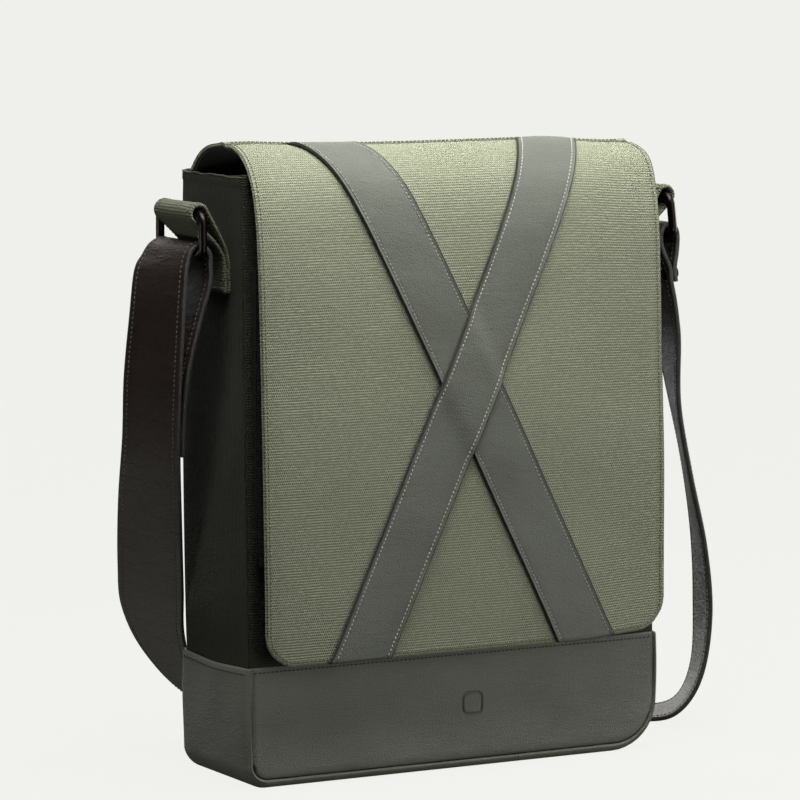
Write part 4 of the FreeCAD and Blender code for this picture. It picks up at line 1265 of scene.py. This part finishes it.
def add_sun(name, towards, strength, angle):
    """A broad distant light, standing in the direction `towards` from the bag."""
    light = bpy.data.lights.new(name, "SUN")
    light.energy = strength
    light.angle = math.radians(angle)
    lamp = add_object(name, light)
    lamp.rotation_euler = Vector(towards).to_track_quat("Z", "Y").to_euler()


def add_softbox(name, place, aim, width, height, power):
    light = bpy.data.lights.new(name, "AREA")
    light.shape = "RECTANGLE"
    light.size, light.size_y = width, height
    light.energy = power
    lamp = add_object(name, light)
    lamp.location = place
    lamp.rotation_euler = (Vector(place) - Vector(aim)).to_track_quat("Z", "Y").to_euler()
    lamp.visible_camera = False


def make_light():
    """Soft light from above and the right, with weak fills. The camera sees the world as a plain pale wall."""
    add_softbox("overhead", (0.0, -0.15, 0.88), (0, 0, 0.3), 0.8, 0.40, 7.0)
    add_softbox("top_strip", (0.0, -0.22, 0.60), (-0.01, -0.05, 0.32), 0.5, 0.12, 1.6)
    add_softbox("right_side", (1.15, 0.0, 0.35), (0.1, 0, 0.2), 0.5, 0.9, 8)
    add_softbox("left_low", (-1.1, 0.06, 0.12), (0, 0, 0.08), 0.6, 0.3, 2.3)
    add_softbox("low_front", (0.16, -0.45, 0.03), (0.02, 0, 0.05), 0.35, 0.08, 0.50)
    add_sun("front_fill", (0.45, -1.0, 0.20), 0.84, 60)
    add_sun("back_fill", (0.25, 1.0, 0.4), 2.2, 60)
    world = bpy.data.worlds.new("studio")
    bpy.context.scene.world = world
    world.use_nodes = True
    nodes, links = world.node_tree.nodes, world.node_tree.links
    background = nodes["Background"]
    background.inputs["Color"].default_value = (0.97, 1.0, 0.97, 1)
    background.inputs["Strength"].default_value = 0.042
    seen = nodes.new("ShaderNodeBackground")
    seen.inputs["Color"].default_value = (0.875, 0.885, 0.86, 1)
    mix = nodes.new("ShaderNodeMixShader")
    path = nodes.new("ShaderNodeLightPath")
    links.new(path.outputs["Is Camera Ray"], mix.inputs[0])
    links.new(background.outputs[0], mix.inputs[1])
    links.new(seen.outputs[0], mix.inputs[2])
    links.new(mix.outputs[0], nodes["World Output"].inputs[0])
    bpy.context.scene.view_settings.view_transform = "Standard"


def make_camera():
    """Stands to the left of the front and a little above, and looks at the bag's middle."""
    azimuth, elevation, roll = math.radians(-28.5), math.radians(6.51), math.radians(-0.11)
    target, distance = Vector((-0.0151, 0, 0.2216)), 2.822
    level = math.cos(elevation)
    back = Vector((math.sin(azimuth) * level, -math.cos(azimuth) * level, math.sin(elevation)))
    right = Vector((math.cos(azimuth), math.sin(azimuth), 0))
    up = back.cross(right)
    turned_right = right * math.cos(roll) + up * math.sin(roll)
    turned_up = up * math.cos(roll) - right * math.sin(roll)
    data = bpy.data.cameras.new("camera")
    data.sensor_width = 36.0
    data.lens = 209.07
    data.clip_end = 200
    camera = add_object("camera", data)
    place = Matrix((turned_right, turned_up, back)).transposed().to_4x4()
    place.translation = target + back * distance
    camera.matrix_world = place
    bpy.context.scene.camera = camera


# --- everything -------------------------------------------------------------------------------------
make_body()
make_inside_shell()
make_base()
make_flap()
make_cross_straps()
make_shoulder_strap()
make_rivets()
make_tab("tab_left_webbing", -1, "tab_left")
make_tab("tab_right_webbing", 1, "tab_right")
make_front_pocket()
make_snaps()
make_sleeve()
make_slip_pocket()
make_zip()
dress_cad_nodes()
make_stage()
make_light()
make_camera()
